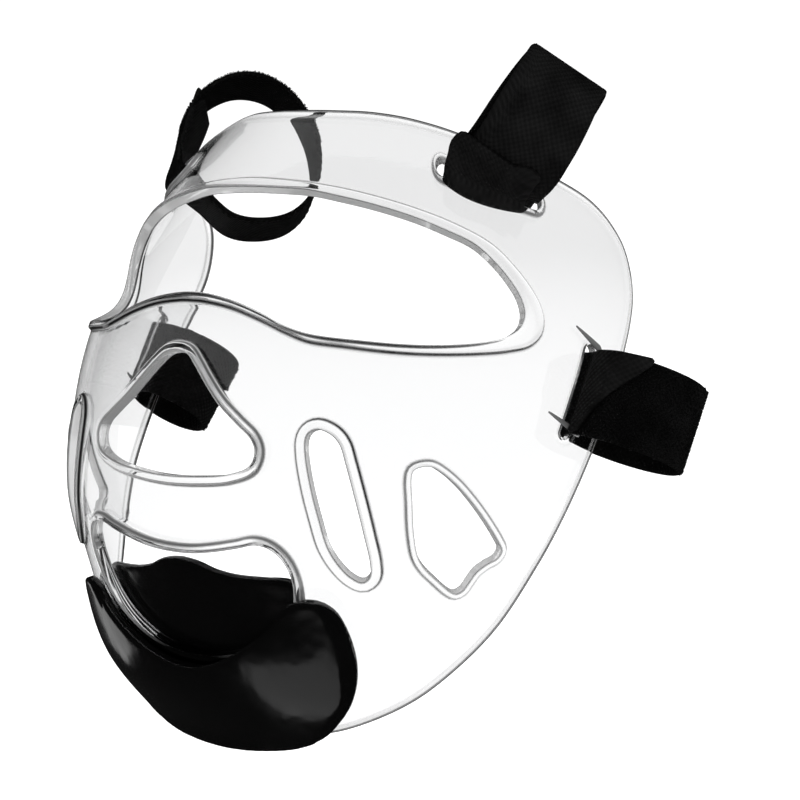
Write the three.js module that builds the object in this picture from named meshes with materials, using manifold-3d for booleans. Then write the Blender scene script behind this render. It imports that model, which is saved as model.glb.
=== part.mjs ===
// A clear face shield for taekwondo: one moulded shell that wraps the face, a glossy chin cup
// that grips the shell's lower edge, and four hook-and-loop straps closed into loops.
//
// Millimetres, +Z up. The wearer looks along -Y and +X is the wearer's left. The origin lies in
// the space for the head, on the middle plane, level with the lower rim of the eye opening and
// with the widest part of the temples.
//
// Places on the shell are written as [angle, height]: degrees round the face from its middle,
// positive to the wearer's left, and millimetres up. A third number is the height above the
// shell's outer face.

import * as THREE from 'three';
import { mergeVertices } from 'three/addons/utils/BufferGeometryUtils.js';
import { TessellateModifier } from 'three/addons/modifiers/TessellateModifier.js';
import Module from 'manifold-3d';

const wasm = await Module();
wasm.setup();

// ---- Driving dimensions ------------------------------------------------------------------

const WALL = 2.6;               // thickness of the clear shell
const RIM_RISE = 1.2;           // how far a rim stands above the outer face
const RIM_SLOPE = 0.5;          // how far a rim's side leans in over its height
const EDGE_BEVEL = { width: 2.6, depth: 0.7 };
const SEAT_GAP = 0.45;          // gap between the chin cup and the shell it grips
const FLAT = 1.7;               // millimetres for a degree where outlines are drawn flat
const CORNER_TURN = 13;         // degrees that an outline turns from one point to the next
const LOOP_STEP = 6;            // longest distance from one point of an outline to the next
const SHELL_SPACING = 7.5;      // distance between the points inside the shell's faces
const CUP_EDGE = 8;             // longest straight edge left on the wrapped chin cup
const CUP_ROUNDS = 24;          // most times that its edges are halved for that

// The shell's level sections: a round front that runs into straight sides. front and side are
// the distances from the origin to the middle and to the temples, and fullness is 0 for a flat
// chamfer, 0.7 for an ellipse and more for squarer corners.
const SECTIONS = [
  { height: 62, front: 45.2, side: 63.2, fullness: 0.36 },
  { height: 48, front: 57.0, side: 78.3, fullness: 0.41 },
  { height: 34, front: 68.5, side: 83.0, fullness: 0.55 },
  { height: 6, front: 89.5, side: 89.5, fullness: 0.78 },
  { height: -22, front: 99.5, side: 93.0, fullness: 0.92 },
  { height: -55, front: 101.5, side: 93.0, fullness: 1.02 },
  { height: -82, front: 95.0, side: 88.5, fullness: 1.02 },
  { height: -104, front: 88.5, side: 83.5, fullness: 0.98 },
  { height: -122, front: 76.0, side: 77.0, fullness: 0.92 },
];

// Outlines that cross the middle plane are given from the top of the middle to its bottom, and
// mirrored. The others are whole loops on the wearer's left.
const PERIMETER = [
  [0, 60.2], [17, 60], [32, 59.3], [45.5, 57.2], [57.3, 53.3], [67.7, 46.9], [76.8, 39.3],
  [83.4, 33], [87.6, 26.5], [90.3, 19.6], [91.1, 11.5], [90.5, 4], [88.6, -3.2], [86.1, -10.6],
  [81.2, -25], [76, -39.1], [69.9, -55.5], [65, -68.7], [58, -85.6], [49.2, -99.6],
  [42.1, -108.3], [32.3, -116.1], [24, -120], [12, -121.5], [0, -121.8],
];

const EYE_OPENING = [
  [0, 36.5], [9, 36.3], [18, 35.7], [26, 34.1], [35.4, 31.6], [43.9, 28.3], [50, 24.8],
  [55.3, 20.9], [58.6, 16], [61, 10.8], [62.5, 6], [62.8, 1.7], [61.8, -1.6], [59.2, -4],
  [55.4, -5.2], [49.6, -5.8], [42.5, -5.6], [34.3, -4.5], [25.5, -2.9], [20.5, -0.6],
  [16.2, 2.2], [10.3, 5], [4, 6.7], [0, 7],
];

const EYE_RIM = [
  [0, 39.6], [9, 39.2], [20, 38], [32.5, 35.4], [44, 31.4], [52.5, 26.8], [59, 21.2],
  [62.6, 15], [65, 9.3], [66.5, 4], [66.8, -0.2], [65.9, -4.2], [63.4, -7.2], [59.2, -8.4],
  [53.4, -8.8], [45.1, -8.6], [38.9, -7.9], [31.8, -6.6], [25.6, -5.4], [21.4, -3.2],
  [16.1, 0], [9.6, 2.9], [3, 4.3], [0, 4.4],
];

const NOSE_OPENING = [
  [0, -9.2], [2.6, -10], [4.8, -13], [7.6, -17.8], [10.7, -23], [14.6, -28.2], [17.2, -31.8],
  [18, -35], [17.2, -39], [13.4, -41.8], [7, -43.3], [0, -43.9],
];

const MOUTH_OPENING = [
  [0, -66], [5.1, -65.6], [9.5, -64.4], [14.5, -62.5], [17.8, -61.1], [20.3, -61.9],
  [22.3, -64.8], [23.5, -69.5], [23.6, -75.5], [22.4, -81.5], [19.5, -87], [14.5, -92],
  [8, -95.7], [0, -97],
];

const CHEEK_SLOT = [
  [28.3, -28.4], [30.4, -29.8], [31.7, -32.4], [32.6, -37.3], [34, -46.6], [35.3, -56.5],
  [36.2, -64.8], [36.1, -68.4], [35, -70], [33.4, -68.8], [31.6, -65.5], [30, -60.6],
  [28.7, -52.5], [27.5, -44.1], [26.6, -35.7], [26.5, -31.3], [27.1, -29.2],
];

const CHEEK_VENT = [
  [43.6, -38.6], [45.4, -38.4], [47, -40], [49.3, -43.6], [51.8, -48.8], [54.2, -54.6],
  [56.2, -60], [56.9, -62.5], [56.2, -64.6], [54.6, -65.9], [52.8, -68], [51.6, -70.8],
  [50.6, -73.2], [49.5, -74], [48.4, -73], [46.5, -69.9], [44.4, -66], [43.4, -62.6],
  [42.8, -56], [42.6, -47.6], [42.5, -41.5], [42.8, -39.4],
];

// Strap slots: the centres of the two round ends, and the half width.
const UPPER_SLOT = { from: [51.6, 42.2], to: [69.4, 32.9], half: 2.7 };
const LOWER_SLOT = { from: [76.8, -6.5], to: [69.2, -31.5], half: 2.7 };
const SLOT_BOW = 0.15;          // how far a slot's long side bows out in the middle

// Rims: how much wider than its opening each rim is.
const NOSE_RIM = 2.8;
const MOUTH_RIM = 2.6;
const CHEEK_SLOT_RIM = 3.2;
const CHEEK_VENT_RIM = 2.0;
const STRAP_SLOT_RIM = 1.8;

// The chin cup's outer wall laps over the mouth's rim, runs out to an ear on each cheek and comes
// back under the shell's edge. Its inner wall stands behind the mouth opening. The cup sits a
// little turned on the shell, higher on the wearer's left.
const CUP_OUTER = [
  [0, -100], [7, -98.2], [14, -93.4], [20.5, -86.4], [23.4, -81], [25.2, -78.8], [28, -78.2],
  [30.1, -78.9], [32.2, -81.6], [33.6, -86.6], [34.5, -92.9], [34.7, -98.2], [34.2, -103.8],
  [32.8, -109.4], [30.4, -114.4], [26.7, -119.6], [20, -123.8], [10, -126.2], [0, -127],
];

const CUP_INNER = [
  [0, -70], [4.5, -71], [8.5, -73.2], [13, -74.4], [19, -74.8], [23.6, -75.2], [25.2, -76.8],
  [26.2, -82.6], [28.2, -90], [29.2, -99], [28.2, -108.6], [25, -117.4], [19.5, -123],
  [10, -125.4], [0, -126],
];

const CUP_TURN = { degrees: 3.4, height: -126 };  // about the lowest point of the middle

const CUP_OUTER_WALL = 3.5;
const CUP_INNER_WALL = 2.6;

// Straps: each is a band of webbing whose two ends lap over each other.
const STRAP = { width: 25, thickness: 1.6, stations: 56 };
const SLOT_HOLD = 2.6;          // a band runs straight this far to each side of its slot's middle
const SLOT_FREE = 12;           // and its width follows its open loop from here

// How each loop hangs from its slot, in the slot's own frame: along it, out of the shell, and
// towards the shell's near edge. reach is half the loop's size away from the slot, bulge is half
// its size across, and belly swells the far half. hangIn leans the loop in towards the head.
// leanOut and leanEdge turn its axis away from the slot. shift moves it along the slot, and seat
// moves it across to the slot's side. The lap runs from one angle round the loop to another.
const STRAPS = [
  {
    name: 'upper_strap_left', side: 1, slot: UPPER_SLOT, reach: 19.9, bulge: 19.6, belly: 0.05,
    hangIn: -0.31, leanOut: -0.16, leanEdge: -0.2, shift: 1.1, seat: 1.8, lapFrom: 95, lapTo: 215,
  },
  {
    name: 'upper_strap_right', side: -1, slot: UPPER_SLOT, reach: 21.5, bulge: 20.6, belly: 0.3,
    hangIn: 0.8, leanOut: -0.08, leanEdge: 0.1, shift: -1.5, seat: 0.5, lapFrom: 95, lapTo: 215,
  },
  {
    name: 'lower_strap_left', side: 1, slot: LOWER_SLOT, reach: 17, bulge: 16.6, belly: 0.02,
    hangIn: -0.58, leanOut: -0.11, leanEdge: 0.05, shift: 1.4, seat: 1.4, lapFrom: 20, lapTo: 120,
  },
  {
    name: 'lower_strap_right', side: -1, slot: LOWER_SLOT, reach: 14.5, bulge: 11, belly: 0.44,
    hangIn: 0.88, leanOut: 0.09, leanEdge: -0.11, shift: 1.5, seat: 0.7, lapFrom: 20, lapTo: 120,
  },
];

// ---- The shell's surface -----------------------------------------------------------------

/** Slope of one column of SECTIONS at a row, from the rows on either side. */
function rowSlope(column, row) {
  const above = SECTIONS[Math.max(row - 1, 0)];
  const below = SECTIONS[Math.min(row + 1, SECTIONS.length - 1)];
  return (below[column] - above[column]) / (below.height - above.height);
}

/** A column of SECTIONS at any height, on a smooth curve through its rows. */
function sectionValue(column, height) {
  let row = 0;
  while (row < SECTIONS.length - 2 && height < SECTIONS[row + 1].height) row += 1;
  const start = SECTIONS[row];
  const end = SECTIONS[row + 1];
  const span = end.height - start.height;
  const t = (height - start.height) / span;
  const t2 = t * t;
  const t3 = t2 * t;
  return (2 * t3 - 3 * t2 + 1) * start[column]
    + (t3 - 2 * t2 + t) * span * rowSlope(column, row)
    + (3 * t2 - 2 * t3) * end[column]
    + (t3 - t2) * span * rowSlope(column, row + 1);
}

/** Distance from the upright axis to the outer face. Each quarter section is a conic arc. */
function shellRadius(angle, height) {
  const turn = THREE.MathUtils.degToRad(Math.abs(angle));
  const side = sectionValue('side', height);
  if (turn >= Math.PI / 2 - 1e-6) return side / Math.sin(turn);
  const front = sectionValue('front', height);
  const fullness = sectionValue('fullness', height);
  const along = side * Math.cos(turn);
  const across = front * Math.sin(turn);
  const middle = 2 * fullness * (along - across) + 2 * across;
  const root = Math.sqrt(middle ** 2 + 4 * across * (along - across) * (1 - 2 * fullness));
  const t = 2 * across / (middle + root);
  const corner = 2 * fullness * t * (1 - t);
  const weight = (1 - t) ** 2 + corner + t ** 2;
  return Math.hypot(side * (corner + t ** 2), front * (corner + (1 - t) ** 2)) / weight;
}

/** A point of the outer face. */
function facePoint(angle, height) {
  const turn = THREE.MathUtils.degToRad(angle);
  const radius = shellRadius(angle, height);
  return new THREE.Vector3(radius * Math.sin(turn), -radius * Math.cos(turn), height);
}

/** The outer face's outward normal. */
function faceNormal(angle, height) {
  const step = 0.5;
  const around = facePoint(angle + step, height).sub(facePoint(angle - step, height));
  const up = facePoint(angle, height + step).sub(facePoint(angle, height - step));
  return around.cross(up).normalize();
}

/** A point on, above or below the outer face. */
function shellPoint(angle, height, rise = 0) {
  return facePoint(angle, height).addScaledVector(faceNormal(angle, height), rise);
}

// ---- Outlines, drawn flat: x is angle times FLAT, y is height -------------------------------

/** Flat points for a list of [angle, height]. */
function flatten(points) {
  return points.map(([angle, height]) => new THREE.Vector2(angle * FLAT, height));
}

/** Points a millimetre apart on a smooth closed curve through flat points. */
function smoothCurve(points) {
  const curve = new THREE.CatmullRomCurve3(
    points.map((point) => new THREE.Vector3(point.x, point.y, 0)), true, 'centripetal');
  const count = 2 * Math.round(curve.getLength() / 2);
  return curve.getSpacedPoints(count).map((point) => new THREE.Vector2(point.x, point.y));
}

/** Fewer points for the same curve: they lie closest where it turns most. */
function thinned(points, longest) {
  const kept = [points[0]];
  let run = 0;
  let turned = 0;
  for (let index = 1; index < points.length - 1; index += 1) {
    const into = points[index].clone().sub(points[index - 1]);
    const outOf = points[index + 1].clone().sub(points[index]);
    run += into.length();
    turned += Math.abs(THREE.MathUtils.radToDeg(into.angleTo(outOf)));
    if (turned >= CORNER_TURN || run >= longest) {
      kept.push(points[index]);
      run = 0;
      turned = 0;
    }
  }
  return kept;
}

/** An anticlockwise loop through a whole outline on the wearer's left. */
function sideLoop(outline, longest = LOOP_STEP) {
  const loop = thinned(smoothCurve(flatten(outline)), longest);
  return THREE.ShapeUtils.isClockWise(loop) ? loop.reverse() : loop;
}

/** An anticlockwise loop, the same on both sides of the middle plane, from its left half. */
function middleLoop(half, longest = LOOP_STEP) {
  const otherHalf = half.slice(1, -1).reverse().map(([angle, height]) => [-angle, height]);
  const curve = smoothCurve(flatten(half.concat(otherHalf)));
  const left = curve.slice(0, (curve.length - 1) / 2 + 1);
  const bottom = left[left.length - 1];
  const kept = thinned(left, longest);
  const right = kept.slice(1).reverse().map((point) => new THREE.Vector2(-point.x, point.y));
  const loop = [...kept, bottom, ...right];
  return THREE.ShapeUtils.isClockWise(loop) ? loop.reverse() : loop;
}

/** A loop moved outwards, or inwards if distance is negative. */
function offsetLoop(loop, distance) {
  return loop.map((point, index) => {
    const before = loop[(index + loop.length - 1) % loop.length];
    const after = loop[(index + 1) % loop.length];
    const into = point.clone().sub(before).normalize();
    const outOf = after.clone().sub(point).normalize();
    const outward = new THREE.Vector2(into.y + outOf.y, -into.x - outOf.x).normalize();
    const reach = distance / (outward.x * into.y - outward.y * into.x);
    return point.clone().addScaledVector(outward, reach);
  });
}

/** The same loop on the wearer's right. */
function otherSide(loop) {
  return loop.map((point) => new THREE.Vector2(-point.x, point.y)).reverse();
}

/** A strap slot's outline: two sides that bow out very slightly and two round ends. */
function slotLoop({ from, to, half }) {
  const [start, end] = flatten([from, to]);
  const along = end.clone().sub(start);
  const heading = along.angle();
  const steps = 6;
  const roundEnd = (centre, first) => Array.from({ length: steps + 1 }, (_, index) => {
    const turn = first + Math.PI * index / steps;
    return new THREE.Vector2(Math.cos(turn), Math.sin(turn)).multiplyScalar(half).add(centre);
  });
  const sidePoints = (origin, span, first) => [0.2, 0.4, 0.6, 0.8].map((share) => {
    const reach = half + SLOT_BOW * 4 * share * (1 - share);
    return new THREE.Vector2(Math.cos(first), Math.sin(first)).multiplyScalar(reach)
      .add(origin).addScaledVector(span, share);
  });
  return [
    ...roundEnd(end, heading - Math.PI / 2),
    ...sidePoints(end, along.clone().negate(), heading + Math.PI / 2),
    ...roundEnd(start, heading + Math.PI / 2),
    ...sidePoints(start, along, heading - Math.PI / 2),
  ];
}

// ---- Solids --------------------------------------------------------------------------------

/** A closed geometry as a solid for cutting and joining. */
function toSolid(geometry) {
  geometry.deleteAttribute('normal');
  geometry.deleteAttribute('uv');
  const merged = mergeVertices(geometry, 1e-4);
  return new wasm.Manifold(new wasm.Mesh({
    numProp: 3,
    vertProperties: Float32Array.from(merged.attributes.position.array),
    triVerts: Uint32Array.from(merged.index.array),
  }));
}

/** A flat solid with a loop's outline, between two rises, with an optional hole. */
function plate(loop, inner, outer, hole = null) {
  const shape = new THREE.Shape(loop);
  if (hole) shape.holes.push(new THREE.Path(hole));
  const geometry = new THREE.ExtrudeGeometry(shape, { depth: outer - inner, bevelEnabled: false });
  return toSolid(geometry.translate(0, 0, inner));
}

/** A solid's faces as a geometry. */
function toGeometry(solid) {
  const mesh = solid.getMesh();
  const geometry = new THREE.BufferGeometry();
  geometry.setAttribute('position', new THREE.BufferAttribute(mesh.vertProperties, 3));
  geometry.setIndex(new THREE.BufferAttribute(mesh.triVerts, 1));
  return geometry.toNonIndexed();
}

/** Wraps a flat geometry round the face: x becomes angle, y height and z rise. */
function wrapped(geometry) {
  const places = geometry.attributes.position;
  for (let index = 0; index < places.count; index += 1) {
    const point = shellPoint(places.getX(index) / FLAT, places.getY(index), places.getZ(index));
    places.setXYZ(index, point.x, point.y, point.z);
  }
  geometry.computeVertexNormals();
  return geometry;
}

// ---- Flat faces ------------------------------------------------------------------------------

/** True if a point lies inside a loop. */
function isInside(loop, point) {
  let inside = false;
  loop.forEach((end, index) => {
    const start = loop[(index + loop.length - 1) % loop.length];
    if ((start.y > point.y) === (end.y > point.y)) return;
    const reach = (point.y - start.y) / (end.y - start.y);
    if (point.x < start.x + reach * (end.x - start.x)) inside = !inside;
  });
  return inside;
}

/** Staggered points that fill a region and keep off its loops, the same on both sides. */
function fillPoints(outer, holes, spacing) {
  const edges = [outer, ...holes].flat();
  const box = new THREE.Box2().setFromPoints(outer);
  const rows = Math.floor((box.max.y - box.min.y) / (0.87 * spacing));
  const columns = Math.ceil(box.max.x / spacing);
  const points = [];
  for (let row = 1; row < rows; row += 1) {
    const height = box.min.y + (box.max.y - box.min.y) * row / rows;
    for (let column = -columns; column <= columns; column += 1) {
      const stagger = row % 2 ? 0.5 * Math.sign(column) : 0;
      if (row % 2 && column === 0) continue;
      const point = new THREE.Vector2((column - stagger) * spacing, height);
      const clear = edges.every((edge) => edge.distanceTo(point) > 0.62 * spacing);
      if (clear && isInside(outer, point) && !holes.some((hole) => isInside(hole, point))) {
        points.push(point);
      }
    }
  }
  return points;
}

/** Angle at one corner of a triangle. */
function cornerAngle(corner, left, right) {
  return left.clone().sub(corner).angleTo(right.clone().sub(corner));
}

/** Turns the shared edges of triangles until none is long and thin without need. */
function evened(points, triangles) {
  let turned = true;
  while (turned) {
    turned = false;
    const owners = new Map();
    const busy = new Set();
    triangles.forEach((triangle, index) => {
      for (let corner = 0; corner < 3; corner += 1) {
        const [apex, from, to] = [0, 1, 2].map((step) => triangle[(corner + step) % 3]);
        owners.set(`${from} ${to}`, { index, apex, from, to });
      }
    });
    for (const { index, apex, from, to } of owners.values()) {
      const other = owners.get(`${to} ${from}`);
      if (!other || busy.has(index) || busy.has(other.index)) continue;
      const ends = [points[from], points[to]];
      const opposite = cornerAngle(points[apex], ...ends) + cornerAngle(points[other.apex], ...ends);
      if (opposite > Math.PI + 1e-6) {
        triangles[index] = [apex, from, other.apex];
        triangles[other.index] = [other.apex, to, apex];
        busy.add(index).add(other.index);
        turned = true;
      }
    }
  }
  return triangles;
}

/** Corners of the triangles that fill a loop and leave out its holes, at one rise. */
function face(outer, holes, rise, spacing = 0) {
  const points = [outer, ...holes].flat();
  const triangles = THREE.ShapeUtils.triangulateShape(outer, holes);
  for (const point of spacing ? fillPoints(outer, holes, spacing) : []) {
    const around = triangles.findIndex((triangle) => (
      isInside(triangle.map((index) => points[index]), point)));
    const [a, b, c] = triangles[around];
    const middle = points.push(point) - 1;
    triangles.splice(around, 1, [a, b, middle], [b, c, middle], [c, a, middle]);
  }
  return evened(points, triangles).flat()
    .map((index) => [points[index].x, points[index].y, rise]);
}

/** Corners of the triangles between two loops of as many points, at two rises. */
function band(low, lowRise, high, highRise) {
  return low.flatMap((point, index) => {
    const next = (index + 1) % low.length;
    const a = [point.x, point.y, lowRise];
    const b = [low[next].x, low[next].y, lowRise];
    const c = [high[next].x, high[next].y, highRise];
    const d = [high[index].x, high[index].y, highRise];
    return [a, b, c, a, c, d];
  });
}

/** The same triangles, facing the other way. */
function turnedOver(corners) {
  return corners.slice().reverse();
}

// ---- The shell and its chin cup ----------------------------------------------------------------

/** The clear shell: a bevelled plate with a raised rim round each opening, wrapped. */
function shellGeometry() {
  const perimeter = middleLoop(PERIMETER);
  const bevel = offsetLoop(perimeter, -EDGE_BEVEL.width);
  const eye = middleLoop(EYE_OPENING);
  const nose = middleLoop(NOSE_OPENING);
  const mouth = middleLoop(MOUTH_OPENING);
  const slot = sideLoop(CHEEK_SLOT);
  const vent = sideLoop(CHEEK_VENT);
  const upper = slotLoop(UPPER_SLOT);
  const lower = slotLoop(LOWER_SLOT);
  const middle = [
    { opening: eye, rim: middleLoop(EYE_RIM) },
    { opening: nose, rim: offsetLoop(nose, NOSE_RIM) },
    { opening: mouth, rim: offsetLoop(mouth, MOUTH_RIM) },
  ];
  const left = [
    { opening: slot, rim: offsetLoop(slot, CHEEK_SLOT_RIM) },
    { opening: vent, rim: offsetLoop(vent, CHEEK_VENT_RIM) },
    { opening: upper, rim: offsetLoop(upper, STRAP_SLOT_RIM) },
    { opening: lower, rim: offsetLoop(lower, STRAP_SLOT_RIM) },
  ];
  const right = left.map(({ opening, rim }) => ({ opening: otherSide(opening), rim: otherSide(rim) }));
  const holes = [...middle, ...left, ...right];

  const corners = [
    ...face(bevel, holes.map(({ rim }) => rim), 0, SHELL_SPACING),
    ...band(perimeter, -EDGE_BEVEL.depth, bevel, 0),
    ...band(perimeter, -WALL, perimeter, -EDGE_BEVEL.depth),
    ...turnedOver(face(perimeter, holes.map(({ opening }) => opening), -WALL, SHELL_SPACING)),
    ...holes.flatMap(({ opening, rim }) => {
      const crest = offsetLoop(rim, -RIM_SLOPE);
      return [
        ...band(rim, 0, crest, RIM_RISE),
        ...face(crest, [opening], RIM_RISE),
        ...turnedOver(band(opening, -WALL, opening, RIM_RISE)),
      ];
    }),
  ];
  const geometry = new THREE.BufferGeometry();
  geometry.setAttribute('position', new THREE.Float32BufferAttribute(corners.flat(), 3));
  return wrapped(geometry);
}

/** The chin cup: two walls with the shell's edge between them, and a lip below it. */
function chinCupGeometry() {
  const seated = (half) => middleLoop(half).map((point) => point.rotateAround(
    new THREE.Vector2(0, CUP_TURN.height), THREE.MathUtils.degToRad(CUP_TURN.degrees)));
  const outer = seated(CUP_OUTER);
  const inner = seated(CUP_INNER);
  const innerTop = -WALL - SEAT_GAP;
  const innerBottom = innerTop - CUP_INNER_WALL;
  const outerTop = SEAT_GAP + CUP_OUTER_WALL;
  const shellEdge = offsetLoop(middleLoop(PERIMETER), SEAT_GAP);
  const lip = plate(outer, innerBottom, outerTop).subtract(plate(shellEdge, -4 * WALL, 4 * WALL));
  const rimRoom = offsetLoop(middleLoop(MOUTH_OPENING), MOUTH_RIM + SEAT_GAP);
  const flat = toGeometry(plate(outer, SEAT_GAP, outerTop)
    .add(plate(inner, innerBottom, innerTop))
    .add(lip)
    .subtract(plate(rimRoom, 0, RIM_RISE + SEAT_GAP)));
  return wrapped(new TessellateModifier(CUP_EDGE, CUP_ROUNDS).modify(flat));
}

// ---- Straps --------------------------------------------------------------------------------

/** A strap slot's middle, and its frame: along the slot, out of the shell, and to the edge. */
function slotFrame({ from, to }) {
  const middle = [(from[0] + to[0]) / 2, (from[1] + to[1]) / 2];
  const along = facePoint(...to).sub(facePoint(...from)).normalize();
  const out = faceNormal(...middle);
  return {
    centre: shellPoint(...middle, (RIM_RISE - WALL) / 2 - 0.4),
    along,
    out,
    edge: out.clone().cross(along).normalize(),
  };
}

/** The part of a direction square to another, as a unit vector. */
function squareTo(direction, other) {
  return direction.clone().addScaledVector(other, -direction.dot(other)).normalize();
}

/** A closed band of webbing that passes straight through its slot and round the shell's edge. */
function strapGeometry(strap) {
  const { centre: middleOfSlot, along, out, edge } = slotFrame(strap.slot);
  const slot = middleOfSlot.addScaledVector(along, strap.shift).addScaledVector(edge, strap.seat);
  const axis = along.clone().addScaledVector(out, strap.leanOut)
    .addScaledVector(edge, strap.leanEdge).normalize();
  const hang = squareTo(edge.clone().addScaledVector(out, -strap.hangIn), axis);
  const across = hang.clone().cross(axis).negate().normalize();
  const centre = slot.clone().addScaledVector(hang, strap.reach);
  const openLoop = [];
  for (let degrees = 55; degrees < 310; degrees += 25) {
    const turn = THREE.MathUtils.degToRad(degrees);
    const rise = strap.bulge * Math.sin(turn) * (1 + strap.belly * (1 - Math.cos(turn)) / 2);
    openLoop.push(centre.clone().addScaledVector(hang, -strap.reach * Math.cos(turn))
      .addScaledVector(across, rise));
  }
  const curve = new THREE.CatmullRomCurve3([
    slot,
    slot.clone().addScaledVector(out, SLOT_HOLD),
    ...openLoop,
    slot.clone().addScaledVector(out, -SLOT_HOLD),
  ], true, 'centripetal');
  const path = curve.getSpacedPoints(STRAP.stations).slice(0, STRAP.stations);

  const half = STRAP.thickness / 2;
  const corners = path.flatMap((middle, station) => {
    const before = path[(station + STRAP.stations - 1) % STRAP.stations];
    const after = path[(station + 1) % STRAP.stations];
    const tangent = after.clone().sub(before).normalize();
    const free = THREE.MathUtils.smoothstep(middle.distanceTo(slot), SLOT_HOLD, SLOT_FREE);
    const wide = squareTo(along.clone().lerp(axis, free), tangent);
    const outward = wide.clone().cross(tangent).normalize();
    const degrees = 360 * station / STRAP.stations;
    const lapped = degrees >= strap.lapFrom && degrees <= strap.lapTo;
    const outer = half + (lapped ? STRAP.thickness : 0);
    return [[-1, -half], [1, -half], [1, outer], [-1, outer]].map(([sideways, rise]) => (
      middle.clone().addScaledVector(outward, rise)
        .addScaledVector(wide, sideways * STRAP.width / 2)));
  });

  const triangles = path.flatMap((_, station) => {
    const next = (station + 1) % STRAP.stations;
    return [0, 1, 2, 3].flatMap((corner) => {
      const a = 4 * station + corner;
      const b = 4 * station + (corner + 1) % 4;
      const c = 4 * next + (corner + 1) % 4;
      const d = 4 * next + corner;
      return [a, b, c, a, c, d];
    });
  });

  const positions = triangles.flatMap((index) => {
    const point = corners[index];
    return [strap.side * point.x, point.y, point.z];
  });
  const geometry = new THREE.BufferGeometry();
  geometry.setAttribute('position', new THREE.Float32BufferAttribute(positions, 3));
  return facingOut(geometry);
}

/** Turns every triangle round if the closed geometry is inside out. */
function facingOut(geometry) {
  const places = geometry.attributes.position;
  const [a, b, c] = [new THREE.Vector3(), new THREE.Vector3(), new THREE.Vector3()];
  let volume = 0;
  for (let index = 0; index < places.count; index += 3) {
    a.fromBufferAttribute(places, index);
    b.fromBufferAttribute(places, index + 1);
    c.fromBufferAttribute(places, index + 2);
    volume += a.dot(b.cross(c));
  }
  if (volume < 0) {
    for (let index = 0; index < places.count; index += 3) {
      b.fromBufferAttribute(places, index + 1);
      c.fromBufferAttribute(places, index + 2);
      places.setXYZ(index + 1, c.x, c.y, c.z);
      places.setXYZ(index + 2, b.x, b.y, b.z);
    }
  }
  geometry.computeVertexNormals();
  return geometry;
}

// ---- The assembly ---------------------------------------------------------------------------

const clear = new THREE.MeshStandardMaterial({
  color: 0xf4f6f7, roughness: 0.05, metalness: 0, transparent: true, opacity: 0.3,
});
const glossBlack = new THREE.MeshStandardMaterial({ color: 0x08080a, roughness: 0.18, metalness: 0 });
const webbingBlack = new THREE.MeshStandardMaterial({ color: 0x0b0b0c, roughness: 0.9, metalness: 0 });

/** A named mesh. */
function piece(name, geometry, material) {
  const mesh = new THREE.Mesh(geometry, material);
  mesh.name = name;
  return mesh;
}

const faceShield = new THREE.Group();
faceShield.name = 'face_shield';
faceShield.add(piece('clear_shell', shellGeometry(), clear));
faceShield.add(piece('chin_cup', chinCupGeometry(), glossBlack));
for (const strap of STRAPS) faceShield.add(piece(strap.name, strapGeometry(strap), webbingBlack));

export default faceShield;
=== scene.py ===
import logging
import math
from dataclasses import dataclass
from enum import Enum

import bpy
import numpy as np
from mathutils import Matrix, Vector
from mathutils.geometry import delaunay_2d_cdt


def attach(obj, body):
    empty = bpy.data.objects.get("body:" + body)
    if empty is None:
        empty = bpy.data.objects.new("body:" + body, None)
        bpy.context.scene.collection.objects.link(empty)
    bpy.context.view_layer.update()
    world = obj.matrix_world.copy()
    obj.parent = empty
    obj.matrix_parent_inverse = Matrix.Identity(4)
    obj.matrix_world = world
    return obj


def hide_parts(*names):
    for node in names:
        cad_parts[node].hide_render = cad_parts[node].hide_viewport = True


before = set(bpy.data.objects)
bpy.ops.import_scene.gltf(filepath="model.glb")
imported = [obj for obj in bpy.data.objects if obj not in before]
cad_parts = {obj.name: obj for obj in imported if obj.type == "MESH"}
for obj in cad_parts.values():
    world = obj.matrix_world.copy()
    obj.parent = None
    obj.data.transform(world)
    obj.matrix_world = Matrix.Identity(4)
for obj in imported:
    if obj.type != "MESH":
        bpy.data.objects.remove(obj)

logging.basicConfig(level=logging.INFO, format="%(name)s: %(message)s")
log = logging.getLogger("face_shield")

MM = 0.001
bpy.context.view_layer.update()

Outline = tuple[tuple[float, float], ...]
Piece = bpy.types.Object
Socket = bpy.types.NodeSocket
Material = bpy.types.Material


class Side(Enum):
    """The wearer's side that a piece is on."""

    LEFT = 1
    RIGHT = -1


# ---- Plane curves --------------------------------------------------------------------------------


def unit(vectors: np.ndarray) -> np.ndarray:
    """The same directions with a length of 1."""
    return vectors / np.linalg.norm(vectors, axis=-1, keepdims=True)


def eased(share: np.ndarray) -> np.ndarray:
    """A share from 0 to 1 that starts and stops gently."""
    return share * share * (3 - 2 * share)


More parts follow.
